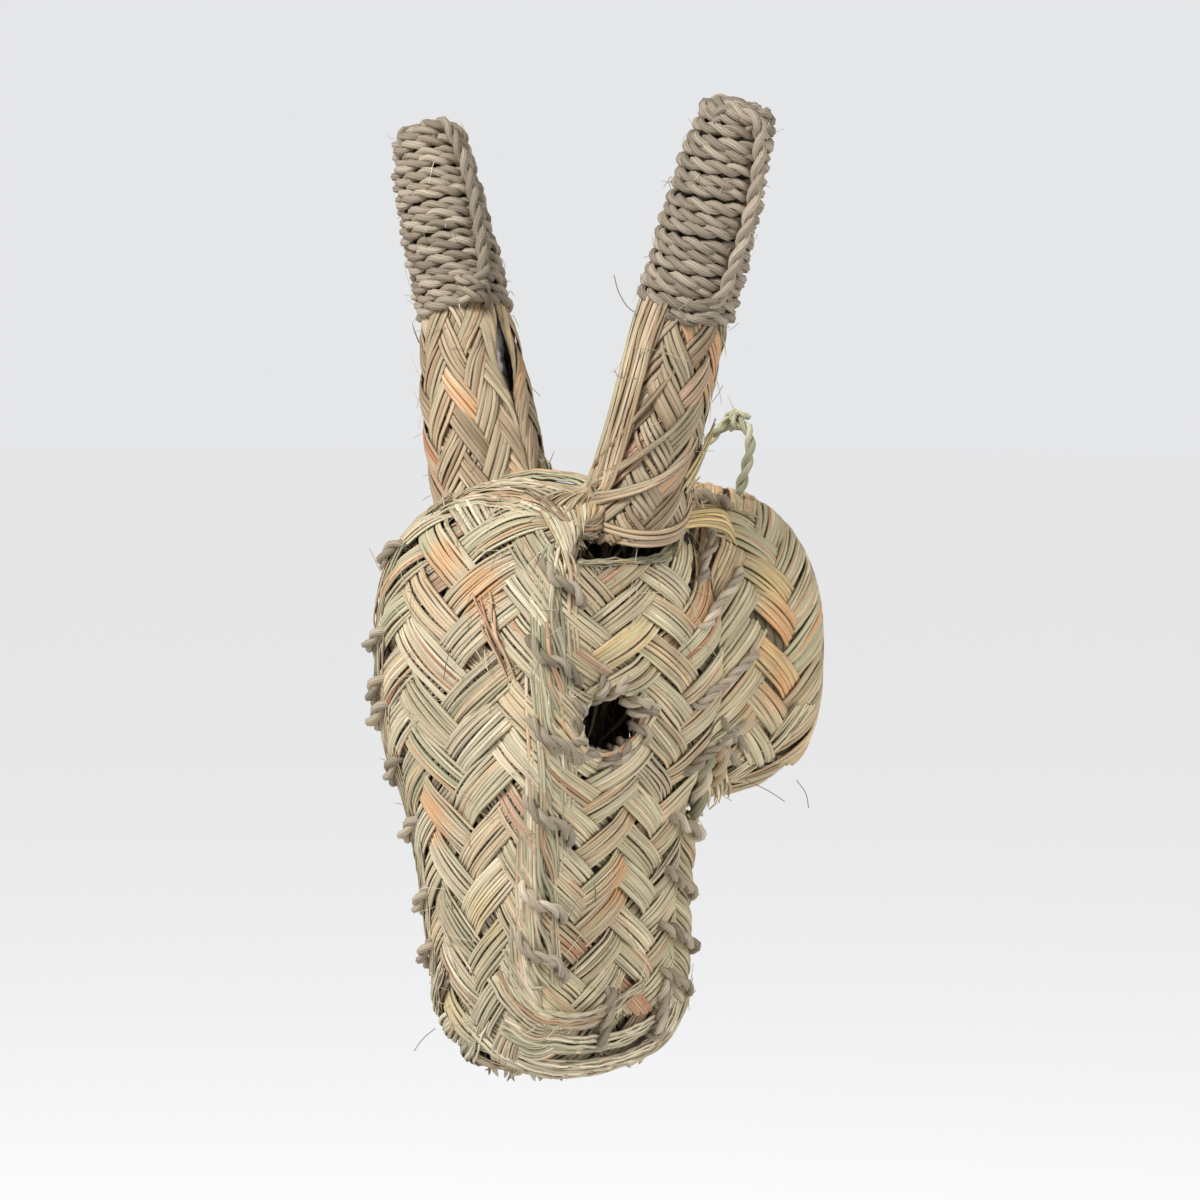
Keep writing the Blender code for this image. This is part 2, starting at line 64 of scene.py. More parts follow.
MM = 0.001
collar_low, collar_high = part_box("neck_collar")
CENTRE = np.array(
    (
        (collar_low[0] + collar_high[0]) / 2,
        collar_high[1],
        (collar_low[2] + collar_high[2]) / 2,
    )
)
SIDES = ("right", "left")
MIRROR = {"right": np.array([1.0, 1, 1]), "left": np.array([-1.0, 1, 1])}

# ---------- the shapes of the bands, as in the CAD
# The face band down its middle: y, z, half width, how far its edges lie back in y and in z, squareness.
FACE_ROWS = (
    (-47.5, -173.5, 35, -9, 1.0, 2.0),
    (-51, -184, 35, -8, 13, 3.0),
    (-62, -194.5, 35, -2, 23.5, 4.0),
    (-80, -198, 35, 0, 27, 4.0),
    (-102, -199, 35, 0, 28, 4.0),
    (-124, -197, 35, 1, 26, 4.0),
    (-142, -190, 35, 4, 19, 4.0),
    (-153, -177, 35, 8, 6.5, 3.0),
    (-157, -160, 34.5, 9, 0, 3.0),
    (-158.5, -141, 34.5, 9, 0, 3.0),
    (-160, -110, 38, 9, 0, 3.0),
    (-163, -75, 45, 9, 0, 3.0),
    (-169, -45, 53, 9, 0, 3.0),
    (-171.5, -15, 56, 9, 0, 3.0),
    (-171, 10, 56.5, 9, 0, 3.0),
    (-166.5, 34, 56, 9, -2, 3.0),
    (-158.5, 51, 55, 8, -5, 2.6),
    (-149, 62, 53.5, 6, -7, 2.3),
    (-134, 69.5, 51, 3, -8, 2.2),
    (-106, 73, 48, 1, -9, 2.0),
    (-64, 71, 45.5, 0, -10, 2.2),
)
# The right cheek band at each height z: x and y of its front edge, its middle and its back edge.
CHEEK_ROWS = (
    (-171, 35, -143.5, 38.5, -100, 37.5, -63.5),
    (-141, 35, -145, 40.5, -102, 39, -63.5),
    (-110, 38, -146.5, 44, -104, 41.5, -64),
    (-75, 45, -149.5, 51.5, -107, 48.5, -66),
    (-50, 52, -155, 61, -109, 59, -63.8),
    (-25, 55, -158, 66.5, -110, 67.5, -63.8),
    (0, 56, -158, 68, -110, 69, -63.8),
    (20, 56, -156.5, 66, -109, 67, -63.8),
    (40, 55.5, -150, 62, -105, 60, -63.8),
)
CHEEK_RISE = 18.0  # how much higher the cheek's top edge is at the collar than in its middle
CHEEK_RISE_FROM = 5.0  # the height it begins at, and the height it takes
CHEEK_RISE_OVER = 35.0
CHEEK_DRAWN_IN = 0.8  # how far the raised edge leans in, as a share of the rise
# The jaw band at each height z: half width, y of its edges and y of its middle.
JAW_ROWS = (
    (-79, 47, -62, -47),
    (-110, 41, -62, -42),
    (-141, 38.5, -62, -40.5),
    (-170, 37, -62, -41),
)
JAW_SQUARENESS = 3.2
HORN_AXIS = (
    (38, -97, 44),
    (49, -95, 76),
    (60, -93, 113),
    (69, -90.5, 148),
    (76.5, -89.5, 172),
    (87, -89, 203),
    (96, -87.5, 232),
    (100, -87, 244),
)
# Radii of the horn's parts at heights: the oval sleeve's long and short ones, and the winding's.
SLEEVE_LONG = ((50, 29), (70, 28.5), (91, 27.5), (119, 26), (147, 22), (160, 19))
SLEEVE_SHORT = ((50, 24), (70, 22.5), (91, 21), (119, 20.4), (147, 20), (160, 18.5))
SLEEVE_LONG_WAY = math.radians(137)  # where the sleeve is widest, from +X towards +Y
WINDING_RADII = ((153, 22.5), (180, 22), (203, 21), (225, 19.5), (240, 17))
COLLAR_WIDTH = 77.0
COLLAR_HEIGHT = 73.5
COLLAR_DROP = -2.0
COLLAR_FRONT = 0.905  # the collar's front edge, where it meets the cheeks, as a share of its rim
COLLAR_CURVE = 1.6
COLLAR_DEPTH = 62.0
COLLAR_SQUARENESS = 2.3
LAP_START = math.radians(112)
LAP_ANGLE = math.radians(22)
LAP_LIFT = 3.6
EYE_CENTRE = np.array((-130.5, -32.0))
EYE_RADIUS = 14.0
EYE_STRETCH = 1.25  # how much wider the eye is than tall
EYE_SHAPE = np.array((EYE_STRETCH, 1.0))
# The hanging loop's route, foot to foot over the nail.
LOOP_POINTS = (
    (37, -15, 68.8),
    (39, -14, 76),
    (40.5, -12.5, 84),
    (40.5, -10.5, 92),
    (37, -8.5, 99.5),
    (30, -7, 103),
    (22.5, -8, 101),
    (16, -10, 95.5),
    (9, -12, 88.5),
    (1, -13.5, 82),
    (-9.5, -15, 75),
)
LOOP_DIAMETER = 5.5


def to_world(points):
    return np.asarray(points, float) * MM + CENTRE


def smooth_rows(rows, u):
    """Points at u, from 0 to 1, on a Catmull-Rom curve through the rows."""
    table = np.array(rows, float)
    count = len(table)
    place = np.clip(np.atleast_1d(np.asarray(u, float)), 0, 1) * (count - 1)
    i = np.minimum(place.astype(int), count - 2)
    t = (place - i)[:, None]
    padded = np.vstack([2 * table[0] - table[1], table, 2 * table[-1] - table[-2]])
    a, b, c, d = padded[i], padded[i + 1], padded[i + 2], padded[i + 3]
    return 0.5 * (
        2 * b + (c - a) * t + (2 * a - 5 * b + 4 * c - d) * t * t + (3 * b - a - 3 * c + d) * t**3
    )


def unit(vectors):
    size = np.linalg.norm(vectors, axis=-1, keepdims=True)
    return vectors / np.maximum(size, 1e-9)


def length_of(points):
    return np.linalg.norm(np.diff(points, axis=0), axis=1).sum()


def distances_along(points):
    return np.concatenate([[0], np.cumsum(np.linalg.norm(np.diff(points, axis=0), axis=1))])


def face_surface(u, v):
    y, z, half, edge_y, edge_z, square = smooth_rows(FACE_ROWS, u).T
    bend = np.abs(v) ** square
    return np.stack([half * v, y + edge_y * bend, z + edge_z * bend], axis=1)


def cheek_surface(u, v):
    z, front_x, front_y, mid_x, mid_y, back_x, back_y = smooth_rows(CHEEK_ROWS, u).T
    ahead, middle, behind = v * (v - 1) / 2, 1 - v * v, v * (v + 1) / 2
    x = front_x * ahead + mid_x * middle + back_x * behind
    y = front_y * ahead + mid_y * middle + back_y * behind
    share = np.clip((z - CHEEK_RISE_FROM) / CHEEK_RISE_OVER, 0, 1)
    rise = CHEEK_RISE * share**2 * np.clip(v, 0, 1.1) ** 1.7
    x, z = x - CHEEK_DRAWN_IN * rise, z + rise
    return np.stack([x, y, z], axis=1)


def mirror_surface(surface):
    """The same surface on the left side, still facing out."""

    def left(u, v):
        return surface(u, -v) * MIRROR["left"]

    return left


left_cheek_surface = mirror_surface(cheek_surface)


def jaw_surface(u, v):
    z, half, edge_y, mid_y = smooth_rows(JAW_ROWS, u).T
    turn = np.clip(v, -1, 1) * math.pi / 2
    power = 2 / JAW_SQUARENESS
    x = np.sign(turn) * np.abs(np.sin(turn)) ** power * half
    y = mid_y + (edge_y - mid_y) * (1 - np.abs(np.cos(turn)) ** power)
    y = y - np.maximum(np.abs(v) - 1, 0) * half
    return np.stack([x, y, z], axis=1)


def collar_point(angle, share, lift):
    """Places on the collar: angle is from its top towards +X, and share is 0 at the wall, 1 in front."""
    c, s = np.cos(angle), np.sin(angle)
    power = 2 / COLLAR_SQUARENESS
    narrow = 1 - (1 - COLLAR_FRONT) * np.clip(share, 0, 1) ** COLLAR_CURVE
    x = np.sign(s) * np.abs(s) ** power * (COLLAR_WIDTH * narrow + lift)
    z = np.sign(c) * np.abs(c) ** power * (COLLAR_HEIGHT * (1 + narrow) / 2 + lift) + COLLAR_DROP
    return np.stack([x, -COLLAR_DEPTH * share + 0 * x, z], axis=-1)


def collar_surface(u, v):
    """Round the collar from the lap, and back to it with the end lying on the start."""
    angle = LAP_START + u * (2 * math.pi + LAP_ANGLE)
    return collar_point(angle, (v + 1) / 2, LAP_LIFT * np.clip((u - 0.9) / 0.08, 0, 1))


def on_collar(degrees, y, lift):
    """Spots on the collar at an angle from its top towards +X and at depths y."""
    return collar_point(np.radians(np.asarray(degrees, float)), -np.asarray(y, float) / COLLAR_DEPTH, lift)


AXIS_U = np.linspace(0, 1, 400)
AXIS_HEIGHTS = smooth_rows(HORN_AXIS, AXIS_U)[:, 2]


def horn_axis(height):
    """The right horn's middle line at heights: places and directions."""
    u = np.interp(height, AXIS_HEIGHTS, AXIS_U)
    place = smooth_rows(HORN_AXIS, u)
    way = unit(smooth_rows(HORN_AXIS, u + 0.02) - smooth_rows(HORN_AXIS, u - 0.02))
    return place, way


def horn_surface(height, angle, radius):
    """Points round the right horn: the angle is from +X towards +Y."""
    place, way = horn_axis(height)
    out = unit(np.array([1.0, 0, 0]) - way * way[:, :1])
    side = np.cross(way, out)
    away = out * np.cos(angle)[:, None] + side * np.sin(angle)[:, None]
    return place + away * np.reshape(radius, (-1, 1))


def radius_at(table, height):
    rows = np.array(table, float)
    return np.interp(height, rows[:, 0], rows[:, 1])


def sleeve_radius(height, angle):
    long = radius_at(SLEEVE_LONG, height)
    short = radius_at(SLEEVE_SHORT, height)
    turn = angle - SLEEVE_LONG_WAY
    return long * short / np.sqrt((short * np.cos(turn)) ** 2 + (long * np.sin(turn)) ** 2)


def on_horn(height, degrees, lift, side="right"):
    """A spot on a horn's sleeve: its height, the angle from +X towards +Y and how far it stands out."""
    height = np.atleast_1d(np.asarray(height, float))
    angle = np.radians(np.atleast_1d(np.asarray(degrees, float)))
    return horn_surface(height, angle, sleeve_radius(height, angle) + lift) * MIRROR[side]


def away_from_horn(points, side="right"):
    """Directions out of a horn at points beside it."""
    place, _ = horn_axis(points[:, 2])
    return unit((points - place * MIRROR[side]) * (1, 1, 0.2))


def surface_frame(surface, u, v):
    """Points on a surface and the directions facing out of it."""
    e = 2e-3
    along = surface(np.clip(u + e, 0, 1), v) - surface(np.clip(u - e, 0, 1), v)
    sideways = surface(u, v + e) - surface(u, v - e)
    return surface(u, v), unit(np.cross(sideways, along))


# ---------- strands gathered into one mesh
class Strands:
    """Collects closed strands: their points, faces, colours and fibre coordinates."""

    def __init__(self):
        self.points, self.quads, self.caps = [], [], []
        self.colours, self.fibres = [], []
        self.count = 0

    def add(self, rings, colours, fibres, painted_shades):
        """rings is N x K x 3, colours N x 3, fibres N x K x 3, and the last argument K factors of painted
        shade round each ring, for the colours.
        """
        n, k = rings.shape[:2]
        index = self.count + np.arange(n * k).reshape(n, k)
        a, b = index[:-1], index[1:]
        quads = np.stack([a, np.roll(a, -1, 1), np.roll(b, -1, 1), b], axis=2).reshape(-1, 4)
        self.points.append(rings.reshape(-1, 3))
        self.quads.append(quads)
        self.caps.append(index[0][::-1])
        self.caps.append(index[-1])
        # Painted shade: the colours round each ring are scaled by its factors.
        self.colours.append((colours[:, None] * np.asarray(painted_shades)[None, :, None]).reshape(-1, 3))
        self.fibres.append(fibres.reshape(-1, 3))
        self.count += n * k

    def mesh(self, name):
        points = to_world(np.concatenate(self.points))
        quads = np.concatenate(self.quads)
        corners = np.concatenate([quads.ravel(), *self.caps])
        sizes = np.concatenate([np.full(len(quads), 4), [len(c) for c in self.caps]])
        mesh = bpy.data.meshes.new(name)
        mesh.vertices.add(len(points))
        mesh.vertices.foreach_set("co", points.ravel())
        mesh.loops.add(len(corners))
        mesh.loops.foreach_set("vertex_index", corners.astype(np.int32))
        mesh.polygons.add(len(sizes))
        starts = np.concatenate([[0], np.cumsum(sizes)[:-1]])
        mesh.polygons.foreach_set("loop_start", starts.astype(np.int32))
        mesh.update(calc_edges=True)
        mesh.validate()
        colour = mesh.attributes.new("straw", "FLOAT_COLOR", "POINT")
        rgba = np.ones((len(points), 4))
        rgba[:, :3] = np.concatenate(self.colours)
        colour.data.foreach_set("color", rgba.ravel())
        fibre = mesh.attributes.new("fibre", "FLOAT_VECTOR", "POINT")
        fibre.data.foreach_set("vector", np.concatenate(self.fibres).ravel())
        mesh.shade_smooth()
        return mesh

    def mirror(self):
        """Turns the strands into their mirror image on the left side."""
        self.points = [points * MIRROR["left"] for points in self.points]
        self.quads = [quads[:, ::-1] for quads in self.quads]
        self.caps = [cap[::-1] for cap in self.caps]


def place_piece(name, strands, material, *nodes):
    """Makes the piece, rides it on the only body and, where nodes are given, puts it in their place."""
    mesh = strands.mesh(name)
    mesh.materials.append(material)
    piece = bpy.data.objects.new(name, mesh)
    bpy.context.scene.collection.objects.link(piece)
    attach(piece, "root")
    if nodes:
        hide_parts(*nodes)
    return piece


def place_sides(name, make, material, node=""):
    """Makes a piece on each side, which make(strands, side) fills."""
    for side in SIDES:
        strands = Strands()
        make(strands, side)
        place_piece(f"{side}_{name}", strands, material, *((f"{side}_{node}",) if node else ()))


# ---------- colours
STRAW_TONES = (
    ((218, 202, 170), 30),
    ((198, 190, 156), 26),
    ((210, 188, 154), 20),
    ((236, 220, 190), 12),
    ((182, 177, 144), 12),
    ((208, 172, 134), 7),
)
HORN_TONES = (
    ((200, 176, 143), 30),
    ((184, 159, 126), 26),
    ((214, 194, 161), 18),
    ((168, 143, 112), 14),
    ((192, 180, 146), 12),
)
# Painted shade: a darker copy of the horn tones for the right horn, which is on the shaded side.
SHADED_HORN_TONES = tuple((tuple(0.93 * level for level in colour), weight) for colour, weight in HORN_TONES)
CHEEK_TONES = (
    ((222, 204, 167), 30),
    ((206, 198, 159), 26),
    ((215, 188, 149), 20),
    ((232, 216, 182), 12),
    ((190, 184, 145), 12),
    ((212, 174, 132), 9),
)
COLLAR_TONES = (
    ((228, 207, 169), 28),
    ((212, 202, 163), 28),
    ((220, 189, 148), 16),
    ((198, 184, 147), 16),
    ((238, 219, 181), 12),
)
CORD_TONES = (((180, 164, 143), 30), ((164, 149, 129), 26), ((192, 177, 156), 18), ((147, 132, 112), 14))
STITCH_TONES = (((206, 190, 165), 30), ((190, 175, 150), 26), ((216, 200, 176), 18), ((172, 158, 134), 14))
GREEN_TONES = (((214, 211, 176), 30), ((203, 203, 168), 26), ((224, 219, 186), 18))
# Painted shade: dark browns for the lining, which shows in the gaps between the tows.
LINING_SHADE_TONES = (((136, 120, 90), 2), ((112, 98, 72), 1))
FOOT_TONES = (((238, 210, 148), 2), ((222, 192, 142), 1), ((204, 192, 150), 1))
RUST_TONES = (((214, 172, 138), 2), ((222, 190, 150), 2), ((206, 154, 122), 1))
HAIR_TONES = (((244, 232, 204), 2), ((226, 208, 172), 1))
# Painted shade: the dark browns of the grass put inside the hollow head.
SHADE_GRASS_TONES = (((92, 76, 52), 2), ((70, 56, 38), 2), ((112, 94, 66), 1))
FILM_TINT = (246, 243, 252)
# Painted shade: the dark colour of the horn's core inside the winding.
FILM_SHADE = (92, 78, 60)
ORANGE, PINK, YELLOW, RUST = (230, 172, 118), (204, 156, 130), (232, 204, 142), (192, 124, 88)
BLUSHES = (ORANGE, PINK, YELLOW, ORANGE, RUST)


def linear(colour):
    """A colour given from 0 to 255 as screens show it, in linear light."""
    share = np.array(colour, float) / 255
    return np.where(share <= 0.04045, share / 12.92, ((share + 0.055) / 1.055) ** 2.4)


def pick_tone(tones, rng):
    weights = np.array([weight for _, weight in tones], float)
    colour = linear(tones[rng.choice(len(tones), p=weights / weights.sum())][0])
    return colour * rng.uniform(0.74, 1.16)


def tint(colours, share, target):
    """The colours with a share of each taken by the target."""
    share = np.reshape(share, (-1, 1))
    return colours * (1 - share) + target * share


def blade_colours(count, spacing, tones, rng, blush=0.3, shared=None):
    """Colours along a blade: one tone, which drifts, and sometimes a reddish leaf base."""
    tone = pick_tone(tones, rng)
    if shared is not None:
        tone = tone * 0.68 + shared * 0.32
    along = np.arange(count) * spacing
    drift = 1 + 0.07 * np.sin(along / rng.uniform(18, 60) + rng.uniform(0, 6))
    colours = tone[None] * drift[:, None]
    reach = along[-1] if count else 0
    for _ in range(rng.poisson(blush * max(reach, 1) / 250)):
        middle, length = rng.uniform(0, reach), rng.uniform(14, 42)
        share = np.exp(-(((along - middle) / length) ** 4)) * rng.uniform(0.4, 0.95)
        target = linear(BLUSHES[rng.integers(len(BLUSHES))]) * rng.uniform(0.85, 1.05)
        colours = tint(colours, share, target)
    return colours


# ---------- blades
# A flat grass blade's section, a little rolled: across and up, each from -1 to 1.
BLADE_SECTION = np.array([(-1, -0.1), (-0.5, 0.85), (0.5, 0.85), (1, -0.1), (0, -0.75)])
BLADE_ROUND = np.linspace(0, 1, len(BLADE_SECTION), endpoint=False)
BLADE_PAINTED_SHADE = (0.5, 1.08, 1.08, 0.5, 0.5)  # painted light and shade: its back a little lighter and its edges darker, for the dark lines between blades
BLADE_THICKNESS = 1.1
LOOSE_THICKNESS = 0.9
LOOSE_STEP = 3.2
CURVE_SAMPLES = 24  # for each point of a given line
BUNDLE_TWIST = 0.6  # how far the blades of a bundle turn round it, in radians


def add_blade(strands, path, normals, width, thickness, colours, seed):
    """A blade along the path, lying flat against the surface whose normals are given."""
    way = unit(np.gradient(path, axis=0))
    side = unit(np.cross(way, normals))
    up = np.cross(side, way)
    width = np.reshape(width, (-1, 1, 1)) / 2
    rings = (
        path[:, None]
        + side[:, None] * BLADE_SECTION[None, :, :1] * width
        + up[:, None] * BLADE_SECTION[None, :, 1:] * (np.reshape(thickness, (-1, 1, 1)) / 2)
    )
    fibres = np.empty(rings.shape)
    fibres[:, :, 0] = distances_along(path)[:, None]
    fibres[:, :, 1] = BLADE_ROUND[None]
    fibres[:, :, 2] = seed
    # The blade's edges get their painted shade here.
    strands.add(rings, colours, fibres, BLADE_PAINTED_SHADE)


def resample(points, spacing):
    """Points at even spacing along a smooth curve through the points, and their distances along it."""
    points = np.asarray(points, float)
    dense = smooth_rows(points, np.linspace(0, 1, max(len(points) * CURVE_SAMPLES, 60)))
    along = distances_along(dense)
    count = max(int(along[-1] / spacing), 6) + 1
    at = np.linspace(0, along[-1], count)
    return np.stack([np.interp(at, along, dense[:, k]) for k in range(3)], axis=1), at


def frames_along(path):
    """Directions along a path, and two more square to it that turn as little as they can."""
    way = unit(np.gradient(path, axis=0))
    up = np.empty_like(path)
    start = np.array([0.0, 0.0, 1.0]) if abs(way[0][2]) < 0.9 else np.array([1.0, 0, 0])
    current = start - way[0] * start.dot(way[0])
    for i, direction in enumerate(way):
        current = current - direction * current.dot(direction)
        current = current / max(np.linalg.norm(current), 1e-9)
        up[i] = current
    return way, up, np.cross(way, up)


def add_loose(
    strands,
    points,
    width,
    tones,
    rng,
    thickness=LOOSE_THICKNESS,
    blush=0.2,
    normal=None,
    steps=LOOSE_STEP,
):
    """One free blade through the points, flat side towards normal: one direction, or several along it.

    width is a number, or a range to draw it from.
    """
    if np.ndim(width):
        width = rng.uniform(*width)
    path, _ = resample(points, steps)
    way = unit(np.gradient(path, axis=0))
    if normal is None:
        normals = frames_along(path)[1]
    else:
        table = np.atleast_2d(np.asarray(normal, float))
        at, rows = np.linspace(0, 1, len(path)), np.linspace(0, 1, len(table))
        facing = np.stack([np.interp(at, rows, table[:, k]) for k in range(3)], axis=1)
        normals = unit(facing - way * np.sum(facing * way, axis=1)[:, None])
    colours = blade_colours(len(path), steps, tones, rng, blush)
    taper = np.ones(len(path))
    taper[-3:] = (0.8, 0.55, 0.25)
    add_blade(strands, path, normals, width * taper, thickness, colours, rng.uniform(0, 100))


def add_bundle(strands, middle_line, blades, spread, width, tones, rng, normal, blush):
    """Blades along a line, lying across and over each other within spread = (across, deep)."""
    line = np.asarray(middle_line, float)
    way = unit(np.gradient(line, axis=0))
    up = unit(np.asarray(normal, float)[None] - way * (way @ np.asarray(normal, float))[:, None])
    side = np.cross(way, up)
    t = np.linspace(0, 1, len(line))
    for _ in range(blades):
        a, b = rng.uniform(-1, 1), rng.uniform(-1, 1)
        turn = rng.uniform(-BUNDLE_TWIST, BUNDLE_TWIST)
        across = a * np.cos(turn * t) - b * np.sin(turn * t)
        deep = np.sqrt(np.maximum(1 - across**2, 0.05)) * (0.35 + 0.65 * abs(b)) * np.sign(b + 0.4)
        path = line + side * (across * spread[0])[:, None] + up * (deep * spread[1])[:, None]
        path = path + rng.normal(0, 0.35, path.shape)
        add_loose(strands, path, (0.85 * width, 1.2 * width), tones, rng, normal=normal, blush=blush)


# ---------- plaiting
SAMPLE_STEP = 3.6  # mm between points along a blade
ZIGZAG_SHARPNESS = 0.96
SURFACE_SAMPLES = 260
TOW_GATHER = 0.87  # how much of its room a tow fills at the crossings, and how much more between them
TOW_SPREAD = 0.1
ARCH_POWER = 2.4
BLADE_WOBBLE, TOW_WOBBLE = 0.035, 0.06  # how far each strays sideways, in tows
TOW_WOBBLE_LENGTH = 37.0
SHARED_BLUSH = 160.0  # mm of plait for each reddish stretch that a whole tow shares, at a blush of 1
SHORTEST_PART = 4  # the fewest points a part of a blade is made for


EYE_PUSH = 2.6  # the power that decides how soon blades swerve round the eye
EYE_BARE = 0.86  # the share of the eye's radius that stays free of them


def arch_between(place, turns):
    """From 0 at a crossing's edge, where a tow dives, to 1 in the middle of it."""
    nearest = np.min(np.abs(place[:, None] - turns[None]), axis=1)
    return 1 - (1 - np.clip(nearest, 0, 1)) ** ARCH_POWER


def zigzag(turn, tows):
    """Which way a tow is heading, and how many tows it has crossed, at a share of its turn."""
    return np.where(turn < 0.5, 1.0, -1.0), tows * np.where(turn < 0.5, 2 * turn, 2 - 2 * turn)


def runs(keep):
    """Start and end of each run of kept points."""
    edges = np.flatnonzero(np.diff(np.concatenate([[0], keep.astype(int), [0]])))
    return list(zip(edges[::2], edges[1::2], strict=True))


def band_measures(surface):
    """Samples of a band: u, the distance along its middle and how wide it is there."""
    us = np.linspace(0, 1, SURFACE_SAMPLES)
    along = distances_along(surface(us, np.zeros(SURFACE_SAMPLES)))
    grid = np.stack([surface(us, np.full(SURFACE_SAMPLES, v)) for v in np.linspace(-1, 1, 15)], axis=1)
    return us, along, np.linalg.norm(np.diff(grid, axis=1), axis=2).sum(axis=1)


def over_and_under(turn, offset, tows, first, rise, bulge):
    """A blade's turn, heading and lift: over two tows, then under two, and flat at the band's edges."""
    turns = np.arange(2.5, tows - 2, 2.0)  # where a tow goes from over to under, in tows across the band
    _, place = zigzag(turn, tows)
    gather = offset * (TOW_GATHER + TOW_SPREAD * arch_between(place, turns))
    turn = (turn + gather / tows) % 1.0
    going, place = zigzag(turn, tows)
    y = place - gather * going
    column = np.sum(y[:, None] > turns[None], axis=1)
    side = first * going * np.where(column % 2 == 0, 1.0, -1.0)
    edge = np.clip(np.minimum(place, tows - place) / 0.9, 0, 1)
    edge = edge * edge * (3 - 2 * edge)
    return turn, going, side * edge * arch_between(y, turns) * (rise + bulge * (1 - 4 * offset * offset))


def plait_colours(colours, path, s, going, shared, spots, rng):
    """A blade's colours with what its whole tow shares, as places and targets, and what the spots add."""
    for middle_at, target in shared:
        share = np.exp(-(((s - middle_at) / rng.uniform(16, 34)) ** 4)) * rng.uniform(0.1, 0.9)
        colours = tint(colours, share, target)
    for centre, radius, heading, target, strength in spots:
        away = np.linalg.norm(path - np.array(centre), axis=1) / radius
        share = np.exp(-(away**4)) * strength * rng.uniform(0.75, 1.0) * (going == heading)
        colours = tint(colours, share, linear(target))
    return colours


def weave(
    surface,
    tows,
    first,
    seed,
    cycle,
    tones=CHEEK_TONES,
    blades=10,
    inset=1.6,
    reach=(1.0, 1.0),
    shift=None,
    rise=1.5,
    bulge=1.1,
    ragged=2.0,
    blush=0.2,
    sharpness=ZIGZAG_SHARPNESS,
    spots=(),
    fullness=1.16,
):
    """Plaits tows of flat blades over two and under two along a surface(u, v), u along it and v across.

    first is 1 where tows that run towards +v lie on top at the band's -v edge, and -1 where they lie below.
    cycle is the length in which a tow crosses the band and comes back. reach stretches the plait past each
    edge, and shift moves points after they are placed and says which are kept. Each spot is a centre, a
    radius, the heading of the tows it colours, a colour and its strength.
    """
    rng = np.random.default_rng(seed)
    strands = Strands()
    us, along, widths = band_measures(surface)
    spacing = SAMPLE_STEP / math.sqrt(1 + (2 * widths / cycle).mean() ** 2)
    for tow in range(tows):
        tow_lift = rng.uniform(-0.15, 0.15)
        tow_shift = rng.normal(0, 0.08)
        tow_tone = pick_tone(tones, rng)
        tow_places = rng.uniform(0, along[-1], rng.poisson(blush * along[-1] / SHARED_BLUSH))
        tow_blushes = [(place, linear(BLUSHES[rng.integers(len(BLUSHES))])) for place in tow_places]
        for blade in range(blades):
            # Where the blade is along and across the band.
            offset = ((blade + 0.5) / blades - 0.5) + rng.normal(0, 0.02)
            start, end = rng.uniform(0, ragged, 2)
            count = max(int((along[-1] - start - end) / spacing), 4)
            s = np.linspace(start, along[-1] - end, count)
            wobble = BLADE_WOBBLE * np.sin(s / rng.uniform(9, 24) + rng.uniform(0, 6))
            wobble = wobble + TOW_WOBBLE * np.sin(s / TOW_WOBBLE_LENGTH + tow * 1.7) + tow_shift
            turn = (tow / tows + s / cycle + wobble / tows) % 1.0
            turn, going, lift = over_and_under(turn, offset, tows, first, rise, bulge)
            lift = lift + tow_lift + rng.uniform(-0.3, 0.3)
            lift = lift + 0.18 * np.sin(s / rng.uniform(5, 14) + rng.uniform(0, 6))
            across = -np.arcsin(sharpness * np.cos(2 * math.pi * turn)) / math.asin(sharpness)
            v = across * np.where(across < 0, reach[0], reach[1])
            here, normals = surface_frame(surface, np.interp(s, along, us), v)
            path = here + normals * (lift - inset)[:, None]
            keep = np.ones(len(path), bool)
            if shift is not None:
                path, keep = shift(path)
            steep = 2 * np.interp(s, along, widths) / cycle
            pitch = cycle * np.sin(np.arctan(steep)) / tows / blades
            width = pitch * rng.uniform(1.12, 1.6) * fullness
            # Its colours: its own, those its tow shares and those of the spots.
            colours = blade_colours(len(path), SAMPLE_STEP, tones, rng, blush * 0.7, tow_tone)
            colours = plait_colours(colours, path, s, going, tow_blushes, spots, rng)
            thickness = np.full(len(path), BLADE_THICKNESS * rng.uniform(0.9, 1.3))
            blade_seed = rng.uniform(0, 100)
            for begin, stop in runs(keep):
                if stop - begin >= SHORTEST_PART:
                    part = slice(begin, stop)
                    shape = path[part], normals[part], width[part], thickness[part]
                    add_blade(strands, *shape, colours[part], blade_seed)
    return strands


def part_round_eye(path):
    """Pushes blades aside round the eye hole, and drops the bits that would cross it."""
    away = (path[:, 1:] - EYE_CENTRE) / EYE_SHAPE
    far = np.maximum(np.linalg.norm(away, axis=1), 1e-3)
    pushed = (far**EYE_PUSH + EYE_RADIUS**EYE_PUSH) ** (1 / EYE_PUSH)
    moved = path.copy()
    moved[:, 1:] = EYE_CENTRE + away / far[:, None] * pushed[:, None] * EYE_SHAPE
    middle = ((moved[1:, 1:] + moved[:-1, 1:]) / 2 - EYE_CENTRE) / EYE_SHAPE
    keep = np.ones(len(path), bool)
    keep[1:] = np.linalg.norm(middle, axis=1) > EYE_RADIUS * EYE_BARE
    return moved, keep


# ---------- cord
CORD_LOBES = 7
PLY_RADIUS = 0.27  # as shares of the cord's diameter
PLY_OFFSET = 0.235
LOBE_PAINTED_SHADE = (1.08, 0.72)  # painted light and shade: a little lighter on the lobes and darker in the valleys between them
